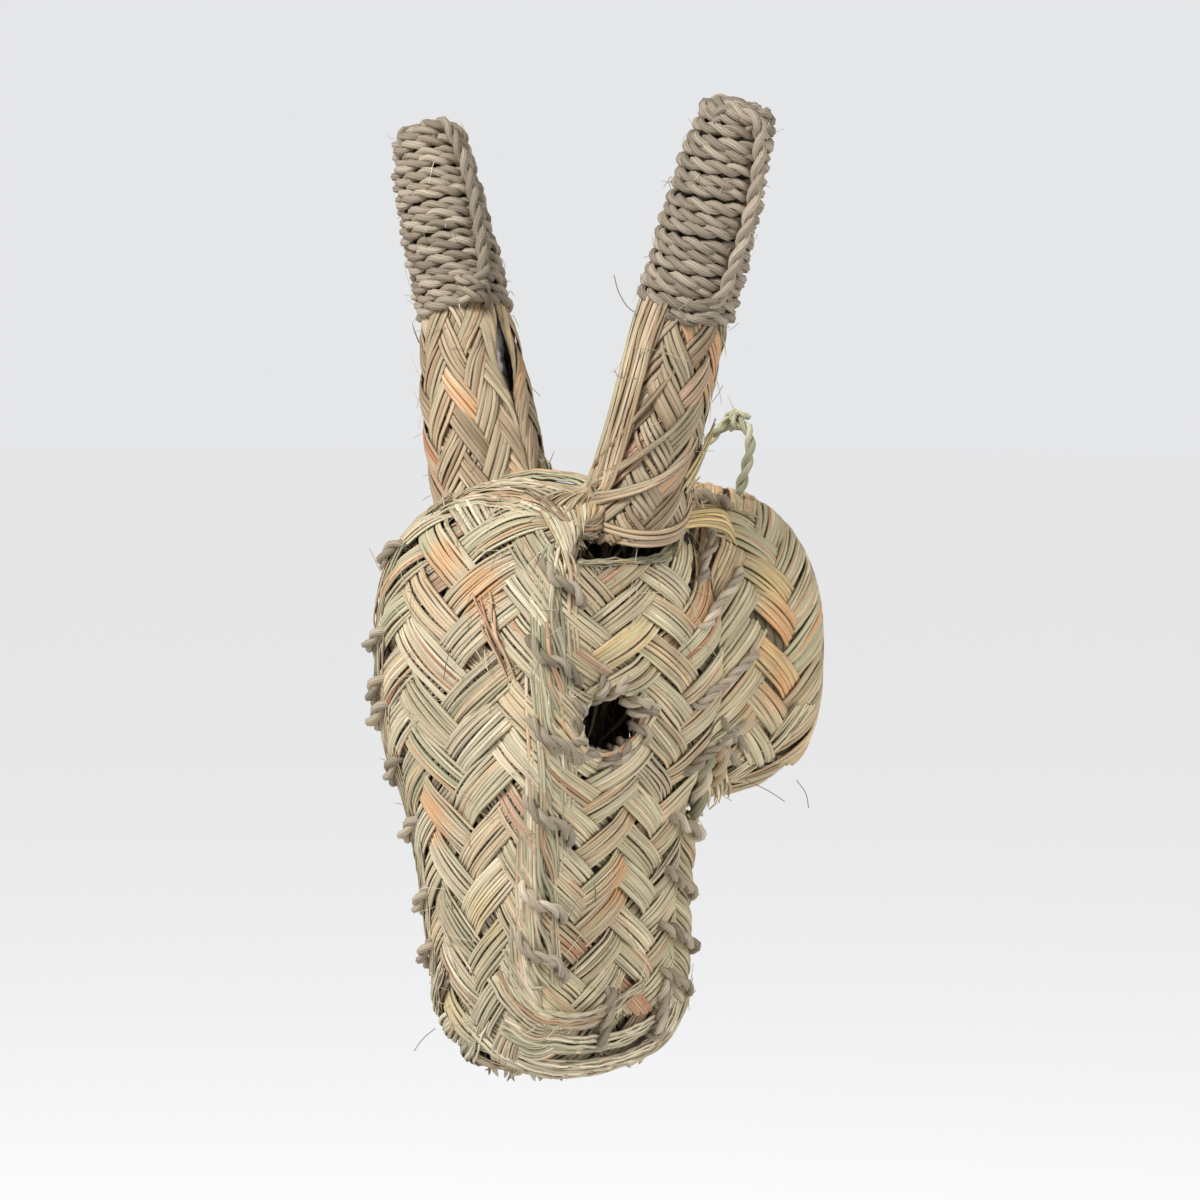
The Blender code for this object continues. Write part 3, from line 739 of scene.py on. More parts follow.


def add_cord(strands, points, diameter, rng, tones=CORD_TONES, spacing=None, pitch=3.1, even=False):
    """A two-ply twisted cord along a path: each ply is a bundle of blades twisted the other way."""
    if even:
        path = np.asarray(points, float)
        along = distances_along(path)
    else:
        path, along = resample(points, spacing or diameter * 0.36)
    way, up, side = frames_along(path)
    sides = CORD_LOBES * 2
    on_lobe = np.arange(sides) % 2 == 0
    rounds = np.linspace(0, 2 * math.pi, sides, endpoint=False)
    start = rng.uniform(0, 2 * math.pi)
    uneven = 1 + 0.06 * np.sin(along / (diameter * rng.uniform(2.4, 4.2)) + rng.uniform(0, 6))
    twist = start + 2 * math.pi * along / (diameter * pitch)
    for ply in range(2):
        turn = twist + math.pi * ply
        out = up * np.cos(turn)[:, None] + side * np.sin(turn)[:, None]
        centre = path + out * diameter * PLY_OFFSET
        lay = unit(np.gradient(centre, axis=0))
        out = unit(out - lay * np.sum(out * lay, axis=1)[:, None])
        beside = np.cross(lay, out)
        bumps = 1 + 0.12 * np.where(on_lobe, 1.0, -1.0) + rng.uniform(-0.09, 0.09, sides)
        spin = -2 * math.pi * along / (diameter * pitch * 1.7) + rng.uniform(0, 6)
        angle = rounds[None] + spin[:, None]
        radius = diameter * PLY_RADIUS * uneven[:, None] * bumps[None]
        rings = centre[:, None] + (
            out[:, None] * np.cos(angle)[:, :, None] + beside[:, None] * np.sin(angle)[:, :, None]
        ) * radius[:, :, None]
        tone = pick_tone(tones, rng)
        drift = 1 + 0.12 * np.sin(along / rng.uniform(9, 30) + rng.uniform(0, 6))
        fibres = np.empty(rings.shape)
        fibres[:, :, 0] = along[:, None]
        fibres[:, :, 1] = rounds[None] / (2 * math.pi) * CORD_LOBES
        fibres[:, :, 2] = rng.uniform(0, 100)
        # The lobes and valleys get their painted light and shade here.
        strands.add(rings, tone[None] * drift[:, None], fibres, np.where(on_lobe, *LOBE_PAINTED_SHADE))


# ---------- materials
class Graph:
    """A material's node tree, with short calls for the nodes that the looks are made of."""

    def __init__(self, name):
        self.material = bpy.data.materials.new(name)
        self.material.use_nodes = True
        self.tree = self.material.node_tree
        self.shader = self.tree.nodes["Principled BSDF"]

    def node(self, kind, inputs, settings=()):
        """A node with its settings. Inputs are linked where a socket is given, and set where a value is."""
        made = self.tree.nodes.new("ShaderNode" + kind)
        for name, value in dict(settings).items():
            setattr(made, name, value)
        for name, value in inputs.items():
            self.feed(made.inputs[name], value)
        return made

    def feed(self, socket, value):
        if isinstance(value, bpy.types.NodeSocket):
            self.tree.links.new(value, socket)
        else:
            socket.default_value = value

    def attribute(self, name):
        return self.node("Attribute", {}, {"attribute_name": name}).outputs["Vector"]

    def noise(self, place, scale, detail, roughness=0.5):
        inputs = {"Vector": place, "Scale": scale, "Detail": detail, "Roughness": roughness}
        return self.node("TexNoise", inputs).outputs["Fac"]

    def spread(self, value, start, end, low, high):
        """The value from start to end, brought to run from low to high."""
        inputs = {"Value": value, "From Min": start, "From Max": end, "To Min": low, "To Max": high}
        return self.node("MapRange", inputs).outputs["Result"]


def straw_material(name, rough, streak, speck_dark, contrast):
    """Dry grass: the strand's own colour, fine streaks, weathered patches, specks and a waxy gloss."""
    graph = Graph(name)
    place = graph.node("TexCoord", {}).outputs["Object"]
    stretch = {0: graph.attribute("fibre"), 1: (0.045, streak, 1.0)}
    fibre = graph.node("VectorMath", stretch, {"operation": "MULTIPLY"}).outputs["Vector"]
    streaks = graph.noise(fibre, 1.0, 3.0, 0.6)
    tone = graph.spread(streaks, 0.3, 0.7, 0.96 - contrast, 0.96 + contrast)
    weather = graph.spread(graph.noise(place, 26.0, 4.0), 0.35, 0.65, 0.9, 1.08)
    both = graph.node("Math", {0: tone, 1: weather}, {"operation": "MULTIPLY"}).outputs["Value"]
    scaled = {0: graph.attribute("straw"), "Scale": both}
    tinted = graph.node("VectorMath", scaled, {"operation": "SCALE"}).outputs["Vector"]
    specks = graph.spread(graph.noise(place, 900.0, 2.0), 0.66, 0.74, 0.0, speck_dark)
    mixed = {"Factor": specks, "A": tinted, "B": (0.16, 0.10, 0.05, 1)}
    colour = graph.node("Mix", mixed, {"data_type": "RGBA"}).outputs["Result"]
    bump = graph.node("Bump", {"Strength": 0.45, "Distance": 0.0004, "Height": streaks})
    graph.feed(graph.shader.inputs["Base Color"], colour)
    graph.feed(graph.shader.inputs["Roughness"], graph.spread(streaks, 0, 1, rough - 0.12, rough + 0.12))
    graph.feed(graph.shader.inputs["Normal"], bump.outputs["Normal"])
    graph.feed(graph.shader.inputs["Specular IOR Level"], 0.35)
    return graph.material


def film_material():
    """Thin crumpled film: pale, a little violet, and glossy."""
    material = straw_material("crumpled_film", 0.3, 2.0, 0.1, 0.18)
    material.node_tree.nodes["Principled BSDF"].inputs["Coat Weight"].default_value = 0.6
    return material


STRAW = straw_material("plaited_grass", 0.58, 7.0, 0.35, 0.25)
CORD = straw_material("twisted_cord", 0.74, 5.0, 0.5, 0.3)
FILM = film_material()

# ---------- the camera
VIEW_AZIMUTH = math.radians(43)
VIEW_ELEVATION = math.radians(3)
CAMERA_DISTANCE = 1.9
FRAME_HEIGHT = 0.5556  # what the picture takes in at the head's distance, m
SENSOR_WIDTH = 36
VIEW_ASIDE = -48.6  # the picture's middle beside the collar's middle, mm
VIEW_ABOVE = 20.8
HEAD_DEPTH = 80.0  # the head's middle in front of the collar's, towards the camera

view_right = np.array((math.cos(VIEW_AZIMUTH), math.sin(VIEW_AZIMUTH), 0))
view_front = np.array((math.sin(VIEW_AZIMUTH), -math.cos(VIEW_AZIMUTH), 0))
upwards = np.array((0, 0, 1))
towards = view_front * math.cos(VIEW_ELEVATION) + upwards * math.sin(VIEW_ELEVATION)
aim = to_world(view_right * VIEW_ASIDE + view_front * HEAD_DEPTH + upwards * VIEW_ABOVE)


def add_camera():
    data = bpy.data.cameras.new("view")
    data.sensor_width = SENSOR_WIDTH
    data.lens = SENSOR_WIDTH * CAMERA_DISTANCE / FRAME_HEIGHT
    camera = bpy.data.objects.new("view", data)
    bpy.context.scene.collection.objects.link(camera)
    camera.location = Vector(aim + towards * CAMERA_DISTANCE)
    camera.rotation_euler = Vector(towards).to_track_quat("Z", "Y").to_euler()
    bpy.context.scene.camera = camera
    bpy.context.scene.view_settings.view_transform = "Standard"


add_camera()

# ---------- the free cord
LOOP_ROUTE_STEP = 3.0
KNOT_ROUND = (
    (34, -4.5, 99),
    (32, -10.5, 100.5),
    (30.5, -11.8, 104.5),
    (28.5, -8, 107.5),
    (27, -3.2, 104),
    (29, -2.8, 99.5),
)
KNOT_OVER = ((24, -4, 99), (24.5, -10.5, 101), (27, -11.5, 105.5), (31, -8.5, 107), (34.5, -4, 104.5))
loop_rng = np.random.default_rng(5)


def hanging_loop():
    loop = Strands()
    add_cord(loop, LOOP_POINTS, LOOP_DIAMETER, loop_rng, tones=GREEN_TONES, spacing=1.6, pitch=3.4)
    piece = place_piece("hanging_loop_cord", loop, CORD, "hanging_loop")
    route, along = resample(LOOP_POINTS, LOOP_ROUTE_STEP)


def loop_knot():
    """Where the loop passes over the nail, thin strands are knotted round it."""
    knot = Strands()
    for diameter, line in ((3.6, KNOT_ROUND), (3.0, KNOT_OVER)):
        add_cord(knot, line, diameter, loop_rng, tones=GREEN_TONES, spacing=1.2, pitch=3.0)
    place_piece("loop_knot", knot, CORD)


hanging_loop()
loop_knot()

# ---------- the plaited bands
# Each spot is a centre, a radius, the heading of the tows it colours, a colour and its strength.
FACE_SPOTS = (
    ((-12, -168, 40), 13, -1, ORANGE, 0.7),
    ((-15, -168, 28), 11, 1, PINK, 0.7),
    ((-22, -164, -78), 13, -1, ORANGE, 0.8),
    ((17, -169, 28), 12, 1, ORANGE, 0.75),
    ((10, -160, -120), 12, 1, YELLOW, 0.5),
    ((-20, -158, -165), 12, -1, YELLOW, 0.6),
)
CHEEK_SPOTS = (
    ((50, -95, -70), 14, 1, ORANGE, 0.8),
    ((45, -100, -105), 15, 1, ORANGE, 0.75),
    ((43, -115, -125), 12, -1, PINK, 0.7),
    ((66, -95, -22), 12, 1, RUST, 0.5),
    ((62, -120, 24), 10, -1, RUST, 0.5),
)
COLLAR_SPOTS = (
    ((74, -30, 28), 13, -1, YELLOW, 0.85),
    ((76, -28, 8), 15, -1, ORANGE, 0.9),
    ((74, -30, -22), 12, -1, ORANGE, 0.75),
    ((50, -30, 62), 12, 1, YELLOW, 0.7),
    ((64, -46, -30), 9, 1, ORANGE, 0.6),
)
CHEEK_PLAIT = dict(tows=9, cycle=164.0, shift=part_round_eye)
# Each band's CAD node, its surface and its plait.
BANDS = {
    "face_band_weave": (
        "face_band",
        face_surface,
        dict(
            tows=9,
            first=1,
            seed=11,
            cycle=222.0,
            tones=STRAW_TONES,
            blades=12,
            sharpness=0.86,
            spots=FACE_SPOTS,
            fullness=1.1,
        ),
    ),
    "right_cheek_weave": (
        "right_cheek_band",
        cheek_surface,
        dict(first=-1, seed=12, reach=(1.06, 1.05), spots=CHEEK_SPOTS, **CHEEK_PLAIT),
    ),
    "left_cheek_weave": (
        "left_cheek_band",
        left_cheek_surface,
        dict(first=1, seed=13, reach=(1.05, 1.06), **CHEEK_PLAIT),
    ),
    "jaw_weave": ("jaw_band", jaw_surface, dict(tows=9, first=1, seed=14, cycle=150.0, blades=8)),
    "collar_weave": (
        "neck_collar",
        collar_surface,
        dict(
            tows=7,
            first=1,
            seed=15,
            cycle=142.0,
            tones=COLLAR_TONES,
            blades=9,
            blush=0.4,
            inset=1.0,
            reach=(1.0, 1.06),
            spots=COLLAR_SPOTS,
            fullness=1.36,
        ),
    ),
}
for name, (node, surface, plait) in BANDS.items():
    place_piece(name, weave(surface, **plait), STRAW, node)

LINING_WIDTH = 6.4
LINING_PITCH = 5.0
LINING_STEP = 9.0
LINING_REACH = 0.95
LINING_CLEAR = 4.0  # how far it stays from the eye's edge
# How deep behind the plait it lies. The collar's is thin, since its plait is seen from both sides.
LINED = (
    (face_surface, 5.0, BLADE_THICKNESS),
    (cheek_surface, 5.0, BLADE_THICKNESS),
    (left_cheek_surface, 5.0, BLADE_THICKNESS),
    (jaw_surface, 5.0, BLADE_THICKNESS),
    (collar_surface, 1.0, 0.4),
)
lining_rng = np.random.default_rng(51)


def shade_lining():
    """Wide dark blades run lengthwise behind the plaits and close the gaps between the tows: painted shade
    in the gaps.
    """
    lining = Strands()
    for surface, depth, thickness in LINED:
        length = length_of(surface(np.linspace(0, 1, 60), np.zeros(60)))
        count = int(length / LINING_STEP)
        us = np.linspace(0.01, 0.99, count)
        strips = int(length_of(surface(np.full(9, 0.5), np.linspace(-1, 1, 9))) / LINING_PITCH)
        for v in np.linspace(-LINING_REACH, LINING_REACH, strips):
            places, outs = surface_frame(surface, us, np.full(count, v))
            path = places - outs * (depth + lining_rng.uniform(-0.1, 0.1) * depth)
            from_eye = np.linalg.norm((path[:, 1:] - EYE_CENTRE) / EYE_SHAPE, axis=1)
            colours = blade_colours(count, LINING_STEP, LINING_SHADE_TONES, lining_rng, 0)
            for begin, stop in runs(from_eye > EYE_RADIUS + LINING_CLEAR):
                if stop - begin >= 3:
                    part = slice(begin, stop)
                    add_blade(lining, path[part], outs[part], LINING_WIDTH, thickness, colours[part], v)
    place_piece("shade_lining", lining, STRAW)


shade_lining()

# ---------- stitches and blades along the seams
# The bands' edges on each side, each as a surface and the v of its edge.
FACE_EDGE = {"right": (face_surface, 1.0), "left": (face_surface, -1.0)}
CHEEK_FRONT = {"right": (cheek_surface, -1.0), "left": (left_cheek_surface, 1.0)}
CHEEK_BACK = {"right": (cheek_surface, 1.0), "left": (left_cheek_surface, -1.0)}
JAW_EDGE = {"right": (jaw_surface, 1.0), "left": (jaw_surface, -1.0)}

STITCH_PLACES = (-1.12, -1.0, -0.75, -0.45, -0.15, 0.15, 0.45, 0.75, 1.0, 1.12)
STITCH_END_LIFT = 1.2
STITCH_DIVE = -4.0
RIDGE_HEIGHTS = {"right": (30, -2, -38, -76, -113, -137), "left": (36, -2, -25, -35, -60, -88, -122, -146)}
JAW_HEIGHTS = (-84, -111, -136, -158)
RIDGE_BLADES = 96
RIDGE_TOP, RIDGE_LENGTH, RIDGE_END = 70.0, 205.0, -152.0
RIDGE_HIGHEST = 46.0
COLLAR_STITCHES = ((43, 8), (22, 13), (-14, 15), (-45, 12))  # height and reach
COLLAR_STITCH_PLACES = (-1.12, -1.0, -0.7, -0.35, 0.0, 0.35, 0.7, 1.0, 1.12)
COLLAR_STITCH_SLANT = 11.0
CHEEK_BACK_TOP = 39.0
MUZZLE_STITCH_ROWS = (-112.0, -74.0)
MUZZLE_EDGE = 36.5
# A muzzle stitch's points: out from the muzzle's edge, back from its row, and the height.
MUZZLE_STITCH = (
    (-3, 0, -183),
    (2.5, 1, -181),
    (3.5, 1.5, -175),
    (4.5, 2, -169),
    (5.0, 2.5, -163),
    (5.2, 3, -158),
    (-1, 3.5, -154),
)
EYE_STITCHES = 11
EYE_LIFTS = (-5.5, 0.2, 2.6, 3.0, 2.4, 0.6, -4.0)  # from inside the hole outwards
seam_rng = np.random.default_rng(31)


def band_spot(surface, edge, height, distance):
    """A spot on a band, at a height and a distance in from one edge, and the way out of it there."""
    us = np.linspace(0, 1, 200)
    rim = surface(us, np.full(200, edge))
    order = np.argsort(rim[:, 2])
    u = np.array([np.interp(height, rim[order, 2], us[order])])
    half = surface(u, np.array([edge])) - surface(u, np.array([0.0]))
    v = np.array([edge * (1 - distance / np.linalg.norm(half))])
    place, out = surface_frame(surface, u, v)
    return place[0], out[0]


def seam_stitches(stitches, first, second, heights, slants, reaches, diameter):
    """Stitches from one band's edge to another's, over their seam. They dive in at both ends."""
    for height in heights:
        height = height + seam_rng.uniform(-1.5, 1.5)
        slant = -seam_rng.uniform(*slants)
        reach = seam_rng.uniform(*reaches)
        spots = []
        for t in STITCH_PLACES:
            place, out = band_spot(*(first if t < 0 else second), height + slant * t, abs(t) * reach)
            lift = 3.2 + 1.4 * (1 - t * t)
            if abs(t) >= 1:
                lift = STITCH_END_LIFT if abs(t) == 1 else STITCH_DIVE
            spots.append(place + out * lift)
        spots = np.array(spots)
        spots[1:-1] += seam_rng.normal(0, 0.35, (len(spots) - 2, 3))
        add_cord(stitches, spots, diameter * seam_rng.uniform(0.88, 1.1), seam_rng, tones=STITCH_TONES)


def ridge_stitches(stitches, side):
    edges = FACE_EDGE[side], CHEEK_FRONT[side]
    seam_stitches(stitches, *edges, RIDGE_HEIGHTS[side], slants=(8, 11), reaches=(7.5, 9.5), diameter=6.0)


def jaw_stitches(stitches, side):
    edges = CHEEK_BACK[side], JAW_EDGE[side]
    seam_stitches(stitches, *edges, JAW_HEIGHTS, slants=(5, 8), reaches=(9, 11), diameter=5.4)


def ridge_blades(running, side):
    """Along the ridge the outermost blades of both bands run down the seam and over each other."""
    outwards = np.array((0.7, -0.7, 0.0)) * MIRROR[side]
    for step in range(RIDGE_BLADES):
        top = RIDGE_TOP - RIDGE_LENGTH * (step + seam_rng.uniform(0, 1)) / RIDGE_BLADES
        length = seam_rng.uniform(45, 92)
        offset = seam_rng.uniform(-6.5, 9.0)
        spots = []
        for t in np.linspace(0, 1, 6):
            height = max(min(top - length * t, RIDGE_HIGHEST), RIDGE_END)
            across = offset + 4.0 - 8.0 * t
            edge = FACE_EDGE[side] if across > 0 else CHEEK_FRONT[side]
            place, out = band_spot(*edge, height, abs(across))
            rounding = 0.8 * math.exp(-((across / 3.0) ** 2))
            spots.append(place + out * (0.9 - 2.6 * (2 * t - 1) ** 6 + rounding))
        add_loose(running, spots, (1.6, 2.3), STRAW_TONES, seam_rng, normal=outwards, blush=0.15)


def collar_spot(side, height, depth):
    """A spot on the collar's side at a height, depth back from its front edge, and the way out of it."""
    z = np.clip((height - COLLAR_DROP) / COLLAR_HEIGHT, -0.98, 0.98)
    x = COLLAR_WIDTH * (1 - abs(z) ** COLLAR_SQUARENESS) ** (1 / COLLAR_SQUARENESS)
    x = x * (1 - (1 - COLLAR_FRONT) * (1 - depth / COLLAR_DEPTH) ** COLLAR_CURVE)
    out = np.array([x / COLLAR_WIDTH**2, 0, (height - COLLAR_DROP) / COLLAR_HEIGHT**2]) * MIRROR[side]
    return np.array([x, depth - COLLAR_DEPTH, height]) * MIRROR[side], out / np.linalg.norm(out)


def collar_stitches(stitches, side):
    for height, reach in COLLAR_STITCHES:
        spots = []
        for t in COLLAR_STITCH_PLACES:
            at = height + COLLAR_STITCH_SLANT * t
            if t < 0:
                place, out = band_spot(*CHEEK_BACK[side], min(at, CHEEK_BACK_TOP), abs(t) * reach)
            else:
                place, out = collar_spot(side, at, t * reach)
            lift = 3.0 + 1.2 * (1 - t * t) if abs(t) <= 1 else STITCH_DIVE
            spots.append(place + out * lift)
        spots = np.array(spots) + seam_rng.normal(0, 0.3, (len(spots), 3))
        add_cord(stitches, spots, 5.1, seam_rng, tones=STITCH_TONES)


def muzzle_stitches(stitches, side):
    for row in MUZZLE_STITCH_ROWS:
        points = (np.array(MUZZLE_STITCH) + (MUZZLE_EDGE, row, 0)) * MIRROR[side]
        points = points + seam_rng.normal(0, 0.4, points.shape)
        add_cord(stitches, points, 5.6, seam_rng, tones=STITCH_TONES)


def eye_stitches(stitches, side):
    """Whip stitches round the eye, from inside the hole outwards."""
    us = np.linspace(0, 1, 80)
    heights = cheek_surface(us, np.zeros(80))[:, 2]
    for step in range(EYE_STITCHES):
        angle = 2 * math.pi * (step + seam_rng.uniform(-0.2, 0.2)) / EYE_STITCHES
        reach = seam_rng.uniform(20, 26)
        skew = 0.45 + seam_rng.uniform(-0.3, 0.3)
        spots = []
        for t, lift in zip(np.linspace(0, 1, len(EYE_LIFTS)), EYE_LIFTS, strict=True):
            radius = EYE_RADIUS * EYE_BARE + (reach - EYE_RADIUS) * t
            turn = angle + skew * t
            y = EYE_CENTRE[0] + (radius + EYE_RADIUS * (EYE_STRETCH - 1)) * math.sin(turn)
            z = EYE_CENTRE[1] + radius * math.cos(turn)
            line = cheek_surface(np.full(60, np.interp(z, heights, us)), np.linspace(-1, 1, 60))
            spots.append((np.interp(y, line[:, 1], line[:, 0]) + lift, y, z))
        diameter = seam_rng.uniform(4.6, 5.8)
        add_cord(stitches, np.array(spots) * MIRROR[side], diameter, seam_rng, tones=STITCH_TONES)


place_sides("ridge_stitches", ridge_stitches, CORD, "ridge_lacing")
place_sides("ridge_blades", ridge_blades, STRAW)
place_sides("jaw_stitches", jaw_stitches, CORD, "jaw_lacing")
place_sides("collar_stitches", collar_stitches, CORD, "collar_lacing")
place_sides("muzzle_stitches", muzzle_stitches, CORD, "muzzle_lacing")
place_sides("eye_stitches", eye_stitches, CORD, "eye_binding")

# ---------- horns
HORN_SEEDS = {"right": 21, "left": 22}
HORN_SEAM = {"right": math.radians(150), "left": math.radians(178)}
HORN_GAP = {"right": 0.0, "left": 0.075}  # how far the seam stands open, as a share of half the way round
HORN_PLAIT = dict(
    tows=25, first=1, cycle=500.0, blades=5, inset=1.2, rise=0.9, bulge=0.5, blush=0.25, fullness=1.0
)
# The right horn's sleeve takes the horn tones with painted shade.
SLEEVE_TONES = {"right": SHADED_HORN_TONES, "left": HORN_TONES}
SLEEVE_TOP = 160.0
WINDING_LOW = 154.0
WINDING_HIGH = 240.0
WINDING_SHORTER = {"right": 0.0, "left": 5.0}  # how much lower each horn's winding ends
WINDING_TURNS = 16
WINDING_CLOSING = 3.2  # turns that close over the tip
WINDING_SAMPLES = 60  # for each turn
WINDING_CORD = 6.4
TIP_RISE = 6.0
TIP_CORDS = ((0.4, 6.5), (1.5, 5.0), (2.6, 6.0), (3.7, 4.5), (4.8, 6.0), (5.8, 5.0))  # angle and bulge
# The cord down the turns at each height: its angle on the right horn and how far it stands out.
LACING = (
    (246, -60, -6),
    (243, -22, 3.5),
    (236, -14, 3.4),
    (225, -8, 3.2),
    (212, -5, 3.2),
    (199, -6, 3.2),
    (186, -9, 3.2),
    (174, -13, 3.2),
    (166, -17, 3.0),
    (161, -30, 2.4),
    (160, -48, -3),
)
LACING_LOW, LACING_LENGTH = 160, 86
KNOT_LIFTS = (-3, 2.5, 4.0, 4.0, 2.5, -3)


def sleeve_surface(side):
    """One horn's sleeve: u runs up it, and v round it from its seam."""

    def surface(u, v):
        share = np.asarray(u)
        gap = 0.012 + HORN_GAP[side] * np.exp(-(((share - 0.72) / 0.13) ** 2))
        angle = HORN_SEAM[side] + math.pi * (1 + np.asarray(v) * (1 - gap))
        start = 53 + 10 * np.cos(angle - math.radians(35))
        height = start + (SLEEVE_TOP - start) * share
        flare = 5.0 * np.exp(-(((height - 44) / 14) ** 2))
        return horn_surface(height, angle, sleeve_radius(height, angle) + flare)

    return surface if side == "right" else mirror_surface(surface)


def winding_path(rng, top):
    """Turns of cord up the right horn to the top, then closing over its tip."""
    turns = WINDING_TURNS + WINDING_CLOSING
    t = np.linspace(0, turns, int(turns * WINDING_SAMPLES))
    angle = 2 * math.pi * t + rng.uniform(0, 6)
    over = np.clip((t - WINDING_TURNS) / WINDING_CLOSING, 0, 1) * math.pi / 2
    height = WINDING_LOW + (top - WINDING_LOW) * np.clip(t / WINDING_TURNS, 0, 1)
    height = height + TIP_RISE * np.sin(over)
    radius = radius_at(WINDING_RADII, height) - WINDING_CORD / 2 + 0.8
    radius = radius * np.cos(over) ** 0.9 + 1.5 * over / (math.pi / 2)
    radius = radius + 0.5 * np.sin(angle * 0.37 + rng.uniform(0, 6))
    radius = radius + 0.4 * np.sin(t * 5.1 + rng.uniform(0, 6))
    height = height + 0.9 * np.sin(angle + rng.uniform(0, 6)) + 0.6 * np.sin(t * 2.3 + rng.uniform(0, 6))
    return horn_surface(height, angle, radius)


def horn_winding(side, rng):
    wound = Strands()
    top = WINDING_HIGH - WINDING_SHORTER[side]
    add_cord(wound, winding_path(rng, top) * MIRROR[side], WINDING_CORD, rng, even=True, pitch=2.9)
    for turn, bulge in TIP_CORDS:
        angles = turn + np.array([0, 0.15, 0.3, 0.6, 0.9])
        radii = np.array([15.5, 15.0, 11.0, 6.0, 2.0])
        rows = top + np.array([-3.0, 2.5, 5.0 + bulge * 0.35, 5.0 + bulge * 0.3, 2.0])
        add_cord(wound, horn_surface(rows, angles, radii) * MIRROR[side], 5.6, rng, pitch=2.9)
    place_piece(f"{side}_horn_winding_cord", wound, CORD, f"{side}_horn_winding", f"{side}_horn_tip_coil")


def horn_lacing(side, rng):
    """A cord comes down over the turns from the tip, and is knotted in at the bottom of them."""
    heights, degrees, lifts = np.array(LACING, float).T
    heights = heights - WINDING_SHORTER[side] * (heights - LACING_LOW) / LACING_LENGTH
    turn = np.radians(degrees) if side == "right" else math.pi - np.radians(degrees)
    path = horn_surface(heights, turn, radius_at(WINDING_RADII, heights) + lifts)
    lacing = Strands()
    add_cord(lacing, path * MIRROR[side], WINDING_CORD, rng)
    for _ in range(3):
        height = rng.uniform(155, 163)
        knot_turn = turn[-2] + np.radians(np.linspace(-18, 18, 6)) * rng.choice((-1, 1))
        rows = height + np.linspace(-4, 4, 6) * rng.choice((-1, 1))
        path = horn_surface(rows, knot_turn, radius_at(WINDING_RADII, rows) + KNOT_LIFTS)
        add_cord(lacing, path * MIRROR[side], 5.4, rng)
    place_piece(f"{side}_horn_lacing_cord", lacing, CORD, f"{side}_horn_lacing")


def horn(side):
    seed = HORN_SEEDS[side]
    rng = np.random.default_rng(seed)
    sleeve = weave(sleeve_surface(side), seed=seed + 10, tones=SLEEVE_TONES[side], **HORN_PLAIT)
    place_piece(f"{side}_horn_sleeve_weave", sleeve, STRAW, f"{side}_horn_sleeve")
    horn_winding(side, rng)
    horn_lacing(side, rng)


for side in SIDES:
    horn(side)

# ---------- loose blades and bundles on the crown
FAN_BLADES = 62
FAN_CLIMB = np.array([158, 142, 124, 104, 87, 73])  # heights on the horn
FAN_FROM, FAN_TURN = 286, 88  # degrees round the horn
# Where the fan's blades end, from the right corner of the crown to its left.
FAN_ENDS = (
    (53, -150, 36),
    (52, -146, 47),
    (46, -143, 58),
    (34, -139, 65),
    (17, -131, 71),
    (-3, -122, 73.5),
    (-22, -112, 73.5),
    (-38, -104, 71),
)
FAN_FACING = ((0.1, -0.8, 0.6), (0.1, -0.6, 0.8), (0, -0.5, 0.9))
SWEEPS = ((120, -52), (109, -24), (97, 2))  # height on the horn and degrees round it
SWEEP_BLADES = 8
CORNER_FACING = ((0.8, -0.6, 0.3), (0.7, -0.7, 0.4), (0.3, -0.7, 0.6), (0.1, -0.6, 0.8), (0, -0.5, 0.9))
FOOT_TOW = 20
FOOT_TOW_HEIGHTS = np.array([70, 65, 61, 58, 56.5, 55.5])
FOOT_TOW_DEGREES = np.array([44, 16, -12, -40, -68, -96])
FOOT_TOW_CORNER = np.array([(49, -128, 54.5), (48.5, -136, 55), (42, -142.5, 60), (29, -140.5, 67)])
ARCHES = ((76.5, -110, 20, 7.0), (73.0, -127, 19, 6.5), (67.0, -141, 15, 5.0))  # top, front, blades, width
# An arch's points: across, behind its front and below its top.
ARCH_LINE = (
    (-57, -2, -36),
    (-52, -1, -22),
    (-42, 0, -10),
    (-27, 0, -3),
    (-9, 0, 0),
    (9, 0, -0.5),
    (25, 1, -3.5),
    (39, 1, -11),
    (49, 3, -22),
)
crown_rng = np.random.default_rng(41)


def crown_fan(crown):
    """Blades come down the inner side of the right horn and fan out over the forehead and the crown."""
    for step in range(FAN_BLADES):
        share = (step + crown_rng.uniform(0, 1)) / FAN_BLADES
        drift = np.linspace(-10, 12, 6) * crown_rng.uniform(0.2, 1.2) * (share - 0.3)
        drift = drift + crown_rng.normal(0, 2.2, 6)
        climb = on_horn(FAN_CLIMB, FAN_FROM - FAN_TURN * share + drift, crown_rng.uniform(0.3, 2.8))
        end = smooth_rows(FAN_ENDS, share)[0] + crown_rng.normal(0, 1.6, 3) * (1, 1, 0.3)
        knee = climb[-1] * 0.35 + np.array([34 - 16 * share, -115 + 6 * share, 70.5]) * 0.65
        near = knee * 0.45 + end * 0.55 + np.array([0, -1.5, 1.0])
        path = np.concatenate([climb, [knee, near, end]])
        facing = np.concatenate([away_from_horn(climb), FAN_FACING])
        tones = HORN_TONES if share < 0.5 else STRAW_TONES
        add_loose(crown, path, (1.6, 2.5), tones, crown_rng, blush=0.12, normal=facing)


